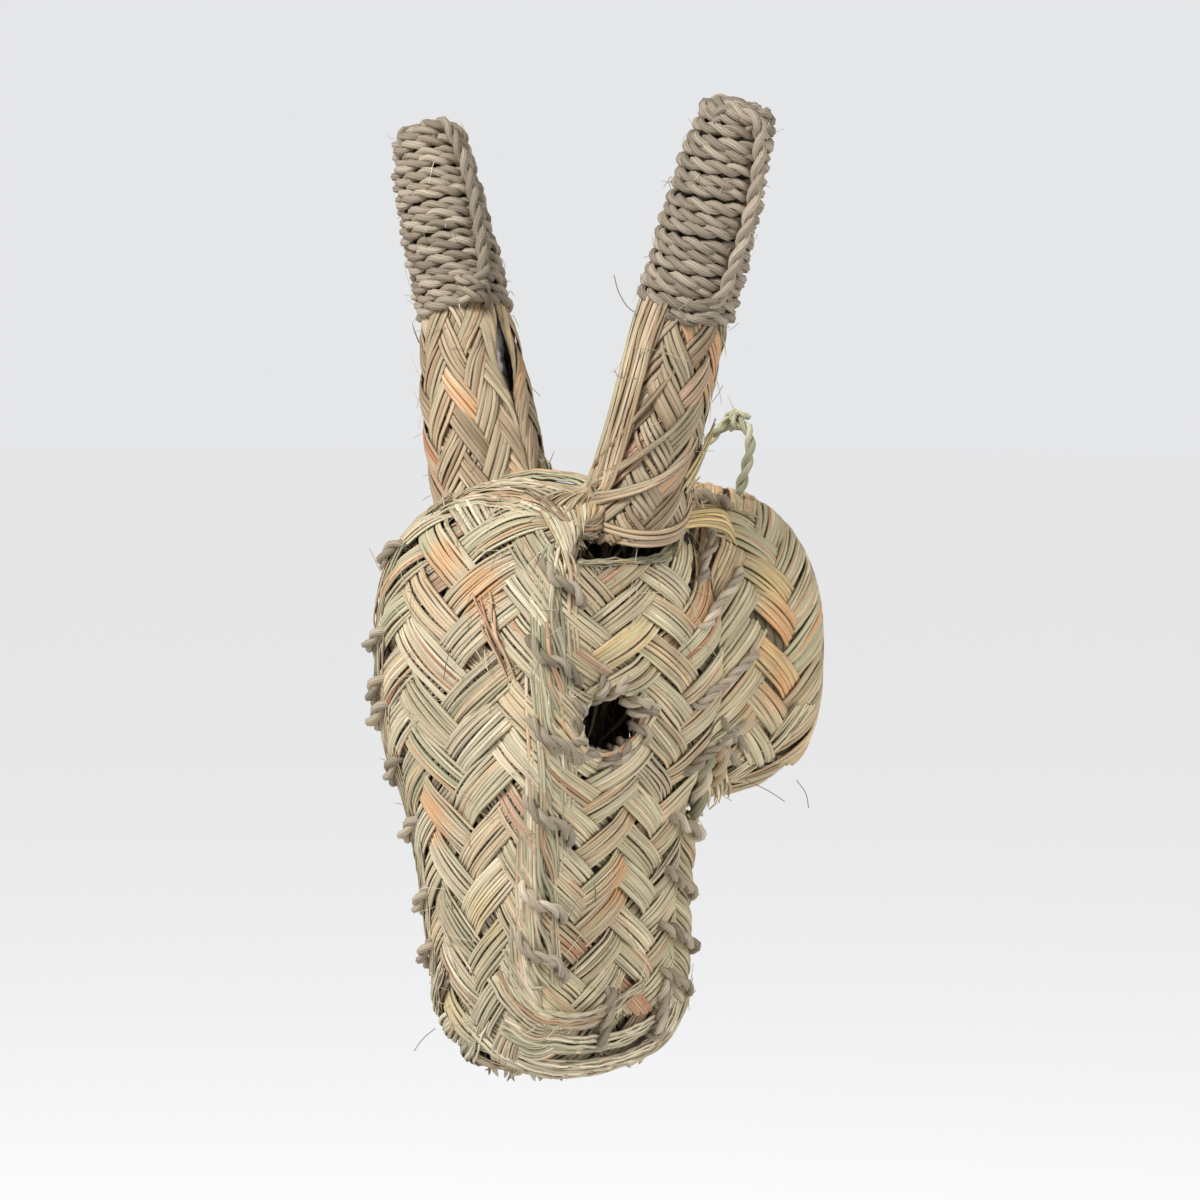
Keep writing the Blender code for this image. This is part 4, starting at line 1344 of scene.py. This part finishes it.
def crown_sweeps(crown):
    """Three tows sweep round the front of the right horn's foot, and turn over the forehead."""
    for top, begin in SWEEPS:
        share = (120 - top) / 23
        corner = np.array(
            [
                (49, -122, 65 - 7 * share),
                (50.5, -134, 58.5 - 3 * share),
                (46, -142.0, 60 - 2 * share),
                (33, -140.5, 67.5 - 2 * share),
                (13, -133.5, 72.5 - 2 * share),
            ]
        )
        for _ in range(SWEEP_BLADES):
            beside = crown_rng.uniform(-1, 1)
            heights = top + 4.5 * beside - np.array([-14, 4, 20, 34, 44]) * (1 - 0.25 * share)
            degrees = begin - np.array([-14, 8, 28, 50, 70]) * (1 + 0.5 * share) + 7 * beside
            climb = on_horn(heights, degrees, (-1.5, 1.4, 2.0, 2.4, 2.2) + crown_rng.uniform(-0.4, 0.4, 5))
            loose = crown_rng.normal(0, 0.8, (5, 3)) * (0.8, 1, 0.7)
            path = np.concatenate([climb, corner + loose])
            facing = np.concatenate([away_from_horn(climb), CORNER_FACING])
            # These blades take the horn tones with painted shade, as on the right horn.
            add_loose(crown, path, (1.7, 2.4), SHADED_HORN_TONES, crown_rng, blush=0.1, normal=facing)


def foot_tow(crown, side):
    """Lower down, a tow lies round the front of each horn's foot over the slit above the cheek."""
    for _ in range(FOOT_TOW):
        beside = crown_rng.uniform(-1, 1)
        degrees = FOOT_TOW_DEGREES + crown_rng.uniform(-6, 6)
        climb = on_horn(FOOT_TOW_HEIGHTS + 3.4 * beside, degrees, crown_rng.uniform(0.6, 2.8), side)
        corner = FOOT_TOW_CORNER + (0, 0, 2.4 * beside) + crown_rng.normal(0, 0.8, (4, 3))
        path = np.concatenate([climb, corner * MIRROR[side]])
        facing = np.concatenate([away_from_horn(climb, side), np.array(CORNER_FACING[:4]) * MIRROR[side]])
        add_loose(crown, path, (1.6, 2.3), HORN_TONES, crown_rng, blush=0.1, normal=facing)


def crown_arches(crown):
    """Arches of blades lie over the top of the forehead, in front of the horns."""
    for top, front, blades, wide in ARCHES:
        line = resample(np.array(ARCH_LINE) + (0, front, top), 6.0)[0]
        add_bundle(crown, line, blades, (wide, 3.2), 2.1, STRAW_TONES, crown_rng, (0, -0.5, 1.0), blush=0.1)


def crown_bundles():
    crown = Strands()
    crown_fan(crown)
    crown_sweeps(crown)
    for side in SIDES:
        foot_tow(crown, side)
    crown_arches(crown)
    place_piece("crown_bundles", crown, STRAW, "crown_lacing")


crown_bundles()

FOOT_BLADES = 22
FOOT_HEIGHTS = np.array([78, 70, 63, 56, 50])
YELLOW_BLADES = 9
# The yellow blades' points, and how much each takes of a blade's own shift outwards and upwards.
YELLOW_LINE = np.array(
    [(46, -114, 50), (56, -106, 53), (64, -93, 56.5), (69, -78, 59), (71, -64, 57), (68, -54, 50)]
)
YELLOW_OUT = np.array([0, 0, 1, 1, 1, 1])
YELLOW_UP = np.array([1, 1, 1, 1.4, 2, 2])
ACCENTS = 8


def foot_blades(foot, side):
    """Blades bound round the foot of a horn run down into the head, and yellow ones back to the collar."""
    for step in range(FOOT_BLADES):
        degrees = 20 + 150 * (step + crown_rng.uniform(0, 1)) / FOOT_BLADES
        sweep = np.linspace(0, 1, 5) * crown_rng.uniform(-22, 22)
        path = on_horn(FOOT_HEIGHTS, degrees + sweep, crown_rng.uniform(0.4, 2.2), side)
        facing = away_from_horn(path, side)
        add_loose(foot, path, (1.7, 2.4), HORN_TONES, crown_rng, normal=facing)
    for _ in range(YELLOW_BLADES):
        low, out = crown_rng.uniform(-2.5, 2.5), crown_rng.uniform(-2, 2)
        path = YELLOW_LINE + np.column_stack([out * YELLOW_OUT, 0 * YELLOW_OUT, low * YELLOW_UP])
        facing = np.array((0.7, -0.7, 0.3)) * MIRROR[side]
        add_loose(foot, path * MIRROR[side], (1.8, 2.6), FOOT_TONES, crown_rng, blush=0, normal=facing)


def loose_accents():
    """A few yellow ends stick out of the right horn's side, and reddish blades cross on the forehead."""
    accents = Strands()
    for _ in range(ACCENTS):
        turn = np.array([2, 18, 33, 46]) + crown_rng.uniform(-7, 7)
        heights = np.array([84, 93, 101, 107]) + crown_rng.uniform(-6, 6)
        path = on_horn(heights, turn, np.array([0.5, 1.8, 3.0, 4.5]))
        facing = away_from_horn(path)
        add_loose(accents, path, (1.4, 2.2), FOOT_TONES, crown_rng, blush=0, normal=facing)
    for _ in range(ACCENTS):
        u = np.array([0.742, 0.722, 0.70, 0.672]) + crown_rng.uniform(-0.02, 0.02)
        v = np.array([0.24, 0.36, 0.5, 0.64]) + crown_rng.uniform(-0.12, 0.12)
        v = v + crown_rng.normal(0, 0.035, 4)
        place, out = surface_frame(face_surface, u, v)
        path = place + out * np.array([[-1.5], [1.6], [1.9], [-1.5]])
        add_loose(accents, path, (1.2, 1.9), RUST_TONES, crown_rng, blush=0, normal=out.mean(axis=0))
    place_piece("loose_accents", accents, STRAW)


def cheek_edging(edging, side):
    """The turned edge along the top of a cheek: blades that run along it."""
    top = cheek_surface(np.ones(20), np.linspace(-0.92, 0.7, 20)) + np.array([-1.2, 0, -0.5])
    add_bundle(edging, top, 12, (2.0, 3.0), 2.0, STRAW_TONES, crown_rng, (0.3, 0, 1), blush=0.1)
    if side == "left":
        edging.mirror()


place_sides("horn_foot_blades", foot_blades, STRAW, "horn_base_lacing")
loose_accents()
place_sides("cheek_edging", cheek_edging, STRAW)

# ---------- the muzzle and the collar's knots
# Bundles that fold round the muzzle's end, in a U from one side of the head to the other, and their blades.
FOLD_ABOVE = (
    (17, -157, -146),
    (26, -153, -160),
    (33, -145, -167),
    (37, -128, -169.5),
    (38.5, -108, -167),
    (39, -85, -158),
)
FOLD_MIDDLE = (
    (17, -153.5, -170),
    (27, -147, -176),
    (33, -131, -180),
    (34.5, -112, -182),
    (35, -92, -181),
    (35, -72, -176),
)
FOLD_BELOW = (
    (-5, -153, -166),
    (8, -148, -181),
    (21, -139, -189.5),
    (28, -120, -193),
    (31, -95, -192.5),
    (33, -70, -187),
    (35, -58, -175),
    (36, -52, -160),
)
MUZZLE_FOLDS = ((16, FOLD_ABOVE), (16, FOLD_MIDDLE), (18, FOLD_BELOW))
MUZZLE_ENDS = 120
# Under the collar's front corner the ends are tied off in a lump of twisted blades and cord.
LUMP = ((61, -61, -38), (59, -61, -50), (54, -59, -62), (49, -57, -72), (46, -56, -81))
LUMP_STRAND = ((65, -58, -46), (60, -54, -57), (52, -50, -65), (42, -47, -71), (30, -46, -75))
LUMP_ANGLES = (120, 128, 137, 147, 158, 170)
LUMP_DEPTHS = np.array([-63, -61, -54, -46, -39, -36])
LUMP_LIFTS = np.array([-3, 2.6, 3.6, 3.4, 2.2, -3])
COLLAR_BLADES = 24
TUFT_BLADES = 16
LUMP_ENDS = 18
muzzle_rng = np.random.default_rng(61)


def muzzle_folds(folds, side):
    for blades, line in MUZZLE_FOLDS:
        dense = resample(np.array(line) * MIRROR[side], 5.0)[0]
        outwards = np.array((0.8, -0.3, -0.6)) * MIRROR[side]
        add_bundle(folds, dense, blades, (5.5, 2.2), 2.1, STRAW_TONES, muzzle_rng, outwards, blush=0.15)


def muzzle_cut_ends():
    """Cut ends of blades stick out along the bottom of the muzzle."""
    ends = Strands()
    for _ in range(MUZZLE_ENDS):
        x, y = muzzle_rng.uniform(-33, 33), muzzle_rng.uniform(-140, -60)
        z = -199.5 + 26 * (abs(x) / 35) ** 4 + 6 * (max(-y - 125, 0) / 15) ** 2
        lean = muzzle_rng.normal(0, 1, 3) * (1.8, 2.4, 0.6)
        path = np.array([(x, y, z + 2.5), (x, y, z + 0.3) + lean * 0.4, (x, y, z - 1.2) + lean])
        add_loose(ends, path, (1.3, 2.2), STRAW_TONES, muzzle_rng, steps=1.6, normal=(0.7, -0.7, 0))
    place_piece("muzzle_cut_ends", ends, STRAW)


def collar_lump(lump, side):
    """Two thick twists of blades, and cords that bind them to the collar."""
    for line, diameter, tones, spacing, pitch in (
        (LUMP, 9.0, STRAW_TONES, 1.6, 2.6),
        (LUMP_STRAND, 7.0, COLLAR_TONES, 1.4, 2.8),
    ):
        path = np.array(line) * MIRROR[side]
        add_cord(lump, path, diameter, muzzle_rng, tones=tones, spacing=spacing, pitch=pitch)
    for angle in LUMP_ANGLES:
        degrees = angle + (LUMP_DEPTHS + 50) * 0.6 + muzzle_rng.uniform(-2, 2)
        spots = on_collar(degrees, LUMP_DEPTHS, LUMP_LIFTS)
        add_cord(lump, spots * MIRROR[side], 5.4, muzzle_rng, tones=STITCH_TONES)


def collar_bundle(lump, side):
    """A bundle of blades runs round the bottom of the collar."""
    line = on_collar(np.linspace(108, 172, 9), np.linspace(-12, -58, 9), 2.0) * MIRROR[side]
    outwards = (line - line.mean(axis=0) * 0.2) * (1, 0, 1)
    for _ in range(COLLAR_BLADES):
        spread = np.array([(0, muzzle_rng.uniform(-8, 8), 0)]) + outwards * muzzle_rng.uniform(0, 0.03)
        path = line + spread + muzzle_rng.normal(0, 0.5, line.shape)
        add_loose(lump, path, (1.6, 2.4), COLLAR_TONES, muzzle_rng, normal=outwards)


def collar_tuft(lump):
    """At the top of the collar a cord and short ends stand up by the loop."""
    cord_line = on_collar((4, 14, 24, 33), (-44, -39, -34, -30), 3.0)
    add_cord(lump, cord_line, 7.0, muzzle_rng, tones=STITCH_TONES, spacing=1.6, pitch=2.6)
    for _ in range(TUFT_BLADES):
        angle, depth = muzzle_rng.uniform(8, 34), muzzle_rng.uniform(-46, -24)
        lean = muzzle_rng.uniform(-9, 9, 2)
        path = [
            on_collar(angle, depth, 0.5),
            on_collar(angle + lean[0] * 0.5, depth + lean[1] * 0.4, 3.0),
            on_collar(angle + lean[0], depth + lean[1], muzzle_rng.uniform(3, 8)),
        ]
        add_loose(lump, path, (1.2, 2.0), COLLAR_TONES, muzzle_rng, normal=(0.4, -0.9, 0.2), steps=2.0)


def lump_ends(lump, side):
    """Loose ends of blades hang out of the lump."""
    for _ in range(LUMP_ENDS):
        start = np.array((58, -60, -48)) + muzzle_rng.normal(0, 3, 3)
        stop = np.array((40, -40, -74)) + muzzle_rng.normal(0, 6, 3) * (1, 1, 0.4)
        middle = (start + stop) / 2 + muzzle_rng.normal(0, 2, 3) + np.array((4, 0, -4))
        path = np.array([start, middle, stop]) * MIRROR[side]
        add_loose(lump, path, (1.4, 2.2), COLLAR_TONES, muzzle_rng, normal=(0.5, 0, -1))


def collar_knot(lump, side):
    collar_lump(lump, side)
    collar_bundle(lump, side)
    if side == "right":
        collar_tuft(lump)
    lump_ends(lump, side)


place_sides("muzzle_folds", muzzle_folds, STRAW)
muzzle_cut_ends()
place_sides("collar_knot", collar_knot, STRAW)

# ---------- what fills the horns
FILM_SIDES = 40
FILM_HEIGHTS = np.arange(58.0, 238.0, 1.4)
FILM_TOP = 150.0  # above this height it stands for the grass core, coloured dark as painted shade inside the winding
FILM_INSIDE_SLEEVE = 3.0
FILM_INSIDE_WINDING = 6.6
# The film's waves: their height, how many lie round it, and how fast they climb.
FILM_WAVES = ((0.9, 5, 5.3), (0.7, 9, -3.1), (0.5, 14, 2.2), (0.4, 21, -1.3))


def horn_stuffing(film, side):
    """Crumpled film pushed up the horn, which shows where the sleeve's seam stands open."""
    rounds = np.linspace(0, 2 * math.pi, FILM_SIDES, endpoint=False)
    crumple = muzzle_rng.uniform(0, 6, 8)
    rings = []
    for height in FILM_HEIGHTS:
        waves = 0
        for (size, count, climb), start in zip(FILM_WAVES, crumple, strict=False):
            waves = waves + size * np.sin(count * rounds + height / climb + start)
        at = np.full(FILM_SIDES, height)
        in_sleeve = sleeve_radius(at, rounds) - FILM_INSIDE_SLEEVE
        in_winding = radius_at(WINDING_RADII, at) - FILM_INSIDE_WINDING
        rings.append(horn_surface(at, rounds, np.minimum(in_sleeve, in_winding) + waves))
    rings = np.array(rings) * MIRROR[side]
    if side == "left":
        rings = rings[:, ::-1]
    tints = linear(FILM_TINT)[None] * muzzle_rng.uniform(0.6, 1.15, (len(rings), 1))
    # Painted shade: above FILM_TOP the stuffing is coloured dark.
    tints[FILM_HEIGHTS > FILM_TOP] = linear(FILM_SHADE)
    film.add(rings, tints, np.zeros(rings.shape), np.ones(FILM_SIDES))


place_sides("horn_stuffing", horn_stuffing, FILM, "horn_core")

# ---------- stray fibres
# Where they stand: a surface, the u they start at and how many there are.
HAIR_PLACES = (
    (face_surface, 0.35, 100),
    (cheek_surface, 0.0, 60),
    (left_cheek_surface, 0.0, 60),
    (jaw_surface, 0.0, 20),
    (collar_surface, 0.0, 55),
    (sleeve_surface("right"), 0.0, 36),
    (sleeve_surface("left"), 0.0, 36),
)
HAIR_CLEAR = 3.0  # how far they stay from the eye's edge
WINDING_HAIRS = 60
# The longest of them, seen against the wall.
LONG_HAIRS = (
    ((31, -9, 104), (29, -10, 110), (26, -10, 115)),
    ((46, -20, -66), (55, -14, -71), (62, -10, -76)),
    ((66, -6, -66), (69, -3, -72), (70, -2, -79)),
    ((-57, -150, 28), (-64, -152, 33), (-68, -153, 40), (-72, -152, 44)),
    ((62, -100, 150), (52, -106, 154), (46, -108, 162), (43, -108, 170)),
    ((-33, -148, -178), (-38, -151, -183), (-42, -153, -189)),
)


def plait_hairs(hairs, surface, low, count):
    u, v = muzzle_rng.uniform(low, 1.0, count), muzzle_rng.uniform(-0.75, 1, count)
    places, outs = surface_frame(surface, u, v)
    for place, out in zip(places, outs, strict=True):
        if np.linalg.norm(place[1:] - EYE_CENTRE) < EYE_RADIUS + HAIR_CLEAR:
            continue
        heading = unit(np.cross(out, muzzle_rng.normal(0, 1, 3)))
        reach, stand = muzzle_rng.uniform(5, 16), muzzle_rng.uniform(0.5, 4.5)
        bend = np.cross(out, heading) * muzzle_rng.normal(0, 3)
        path = [
            place + out * 0.8,
            place + heading * reach * 0.5 + out * (1.8 + stand * 0.4) + bend * 0.4,
            place + heading * reach + out * (1.6 + stand) + bend,
        ]
        add_loose(hairs, path, (0.3, 0.7), HAIR_TONES, muzzle_rng, thickness=0.35, steps=3.5)


def winding_hairs(hairs, side):
    for _ in range(WINDING_HAIRS):
        height, turn = muzzle_rng.uniform(150, 246), muzzle_rng.uniform(0, 2 * math.pi)
        near = np.array([height, height + muzzle_rng.normal(0, 2), height + muzzle_rng.normal(0, 4)])
        round_by = turn + np.array([0, 1, 2.0]) * muzzle_rng.normal(0, 0.12)
        lift = np.array([-0.5, 1.0, 1.4 + muzzle_rng.exponential(1.3)])
        path = horn_surface(near, round_by, radius_at(WINDING_RADII, height) + lift) * MIRROR[side]
        add_loose(hairs, path, (0.25, 0.55), HAIR_TONES, muzzle_rng, thickness=0.3, steps=3.0)


def stray_fibres():
    """Thin fibres stand off the plait and the cord everywhere."""
    hairs = Strands()
    for surface, low, count in HAIR_PLACES:
        plait_hairs(hairs, surface, low, count)
    for side in SIDES:
        winding_hairs(hairs, side)
    for line in LONG_HAIRS:
        add_loose(hairs, line, 0.6, HORN_TONES, muzzle_rng, thickness=0.5, steps=2.0)
    place_piece("stray_fibres", hairs, STRAW)


stray_fibres()

# ---------- dark loose grass inside the head: painted shade in the hollow, behind the eye holes and by the cheeks' backs
GRASS_FRONT = -148.0


def shade_grass_blade(fill, path, width, steps=14.0, normal=None):
    add_loose(fill, path, width, SHADE_GRASS_TONES, crown_rng, steps=steps, blush=0, normal=normal)


def hanging_grass(fill):
    """Down the middle of the head, from the crown to below the eyes."""
    for _ in range(220):
        x, y = crown_rng.uniform(-42, 42), crown_rng.uniform(-148, -66)
        top, low = crown_rng.uniform(44, 60), crown_rng.uniform(-80, -35)
        sway = crown_rng.normal(0, 7, (5, 2))
        rows = np.maximum(y + sway[:, 1], GRASS_FRONT)
        path = np.column_stack([x + sway[:, 0], rows, np.linspace(top, low, 5)])
        shade_grass_blade(fill, path, (3.0, 5.0))


def crown_grass(fill):
    """Short grass that stands up under the crown."""
    for _ in range(150):
        x, y = crown_rng.uniform(-52, 52), crown_rng.uniform(-126, -64)
        heights = np.linspace(crown_rng.uniform(12, 26), crown_rng.uniform(50, 62) - 0.005 * x * x, 4)
        sway = crown_rng.normal(0, 5, (4, 2))
        path = np.column_stack([x + sway[:, 0], y + sway[:, 1], heights])
        shade_grass_blade(fill, path, (3.5, 6.0))


def eye_backing(fill, side):
    """Dark grass and a row of dark strips behind the eye hole, and grass behind the cheek's back: painted
    shade seen through them.
    """
    for _ in range(50):
        x, y = crown_rng.uniform(8, 36), crown_rng.uniform(-150, -104)
        path = np.array([(x, y, 8), (x, y, -30), (x, y, -72)]) + crown_rng.normal(0, 3.0, (3, 3))
        shade_grass_blade(fill, path * MIRROR[side], 5.5, steps=16.0)
    for y in np.arange(-152.0, -84.0, 3.6):
        x = 30 + crown_rng.uniform(-3, 3)
        path = np.array([(x, y, 6), (x, y, -30), (x, y, -72)]) + crown_rng.normal(0, 0.8, (3, 3))
        facing = np.array((1.0, -0.5, 0)) * MIRROR[side]
        shade_grass_blade(fill, path * MIRROR[side], 7.0, steps=16.0, normal=facing)
    for _ in range(36):
        x, y = crown_rng.uniform(38, 55), crown_rng.uniform(-74, -60)
        heights = np.linspace(crown_rng.uniform(14, 28), crown_rng.uniform(50, 58), 4)
        path = np.column_stack([x + crown_rng.normal(0, 1.5, 4), y + crown_rng.normal(0, 2, 4), heights])
        shade_grass_blade(fill, path * MIRROR[side], 4.5)


def shade_grass():
    fill = Strands()
    hanging_grass(fill)
    crown_grass(fill)
    for side in SIDES:
        eye_backing(fill, side)
    place_piece("shade_grass", fill, STRAW)


shade_grass()

# ---------- stage and light
FLOOR_SIZE = 30.0
FLOOR_DROP = 0.35
FLOOR_COLOUR = (0.80, 0.80, 0.81, 1)
FLOOR_GLOW = (0.05, 0.5)  # what it gives to other surfaces and to the camera
SKY_COLOUR = (0.97, 0.98, 1.0, 1)
SKY_STRENGTH = (0.36, 0.81)


def for_camera(tree, low, high):
    """A value that is low for light that falls on things, and high where the camera looks at it."""
    rays = tree.nodes.new("ShaderNodeLightPath")
    choice = tree.nodes.new("ShaderNodeMapRange")
    choice.inputs["To Min"].default_value = low
    choice.inputs["To Max"].default_value = high
    tree.links.new(rays.outputs["Is Camera Ray"], choice.inputs["Value"])
    return choice.outputs["Result"]


def add_floor():
    pale = Graph("pale_floor")
    pale.feed(pale.shader.inputs["Base Color"], FLOOR_COLOUR)
    pale.feed(pale.shader.inputs["Roughness"], 0.9)
    pale.feed(pale.shader.inputs["Emission Color"], (1, 1, 1, 1))
    pale.feed(pale.shader.inputs["Emission Strength"], for_camera(pale.tree, *FLOOR_GLOW))
    z = cad_box[0][2] - FLOOR_DROP
    corners = [(x * FLOOR_SIZE, y * FLOOR_SIZE, z) for x, y in ((-1, -1), (1, -1), (1, 1), (-1, 1))]
    mesh = bpy.data.meshes.new("floor")
    mesh.from_pydata(corners, [], [(0, 1, 2, 3)])
    mesh.materials.append(pale.material)
    floor = bpy.data.objects.new("floor", mesh)
    bpy.context.scene.collection.objects.link(floor)


def add_sky():
    world = bpy.data.worlds.new("studio")
    bpy.context.scene.world = world
    world.use_nodes = True
    background = world.node_tree.nodes["Background"]
    background.inputs["Color"].default_value = SKY_COLOUR
    strength = for_camera(world.node_tree, *SKY_STRENGTH)
    world.node_tree.links.new(strength, background.inputs["Strength"])


def add_light(name, offset, size, power):
    data = bpy.data.lights.new(name, "AREA")
    data.size = size
    data.energy = power
    light = bpy.data.objects.new(name, data)
    bpy.context.scene.collection.objects.link(light)
    light.location = Vector(aim + offset)
    light.rotation_euler = Vector(offset).to_track_quat("Z", "Y").to_euler()


add_floor()
add_sky()
add_light("key", view_right * -1.2 + towards * 1.2 + upwards * 1.4, size=0.7, power=44)
add_light("fill", view_right * 1.7 + towards * 0.9 + upwards * 0.5, size=1.5, power=14)
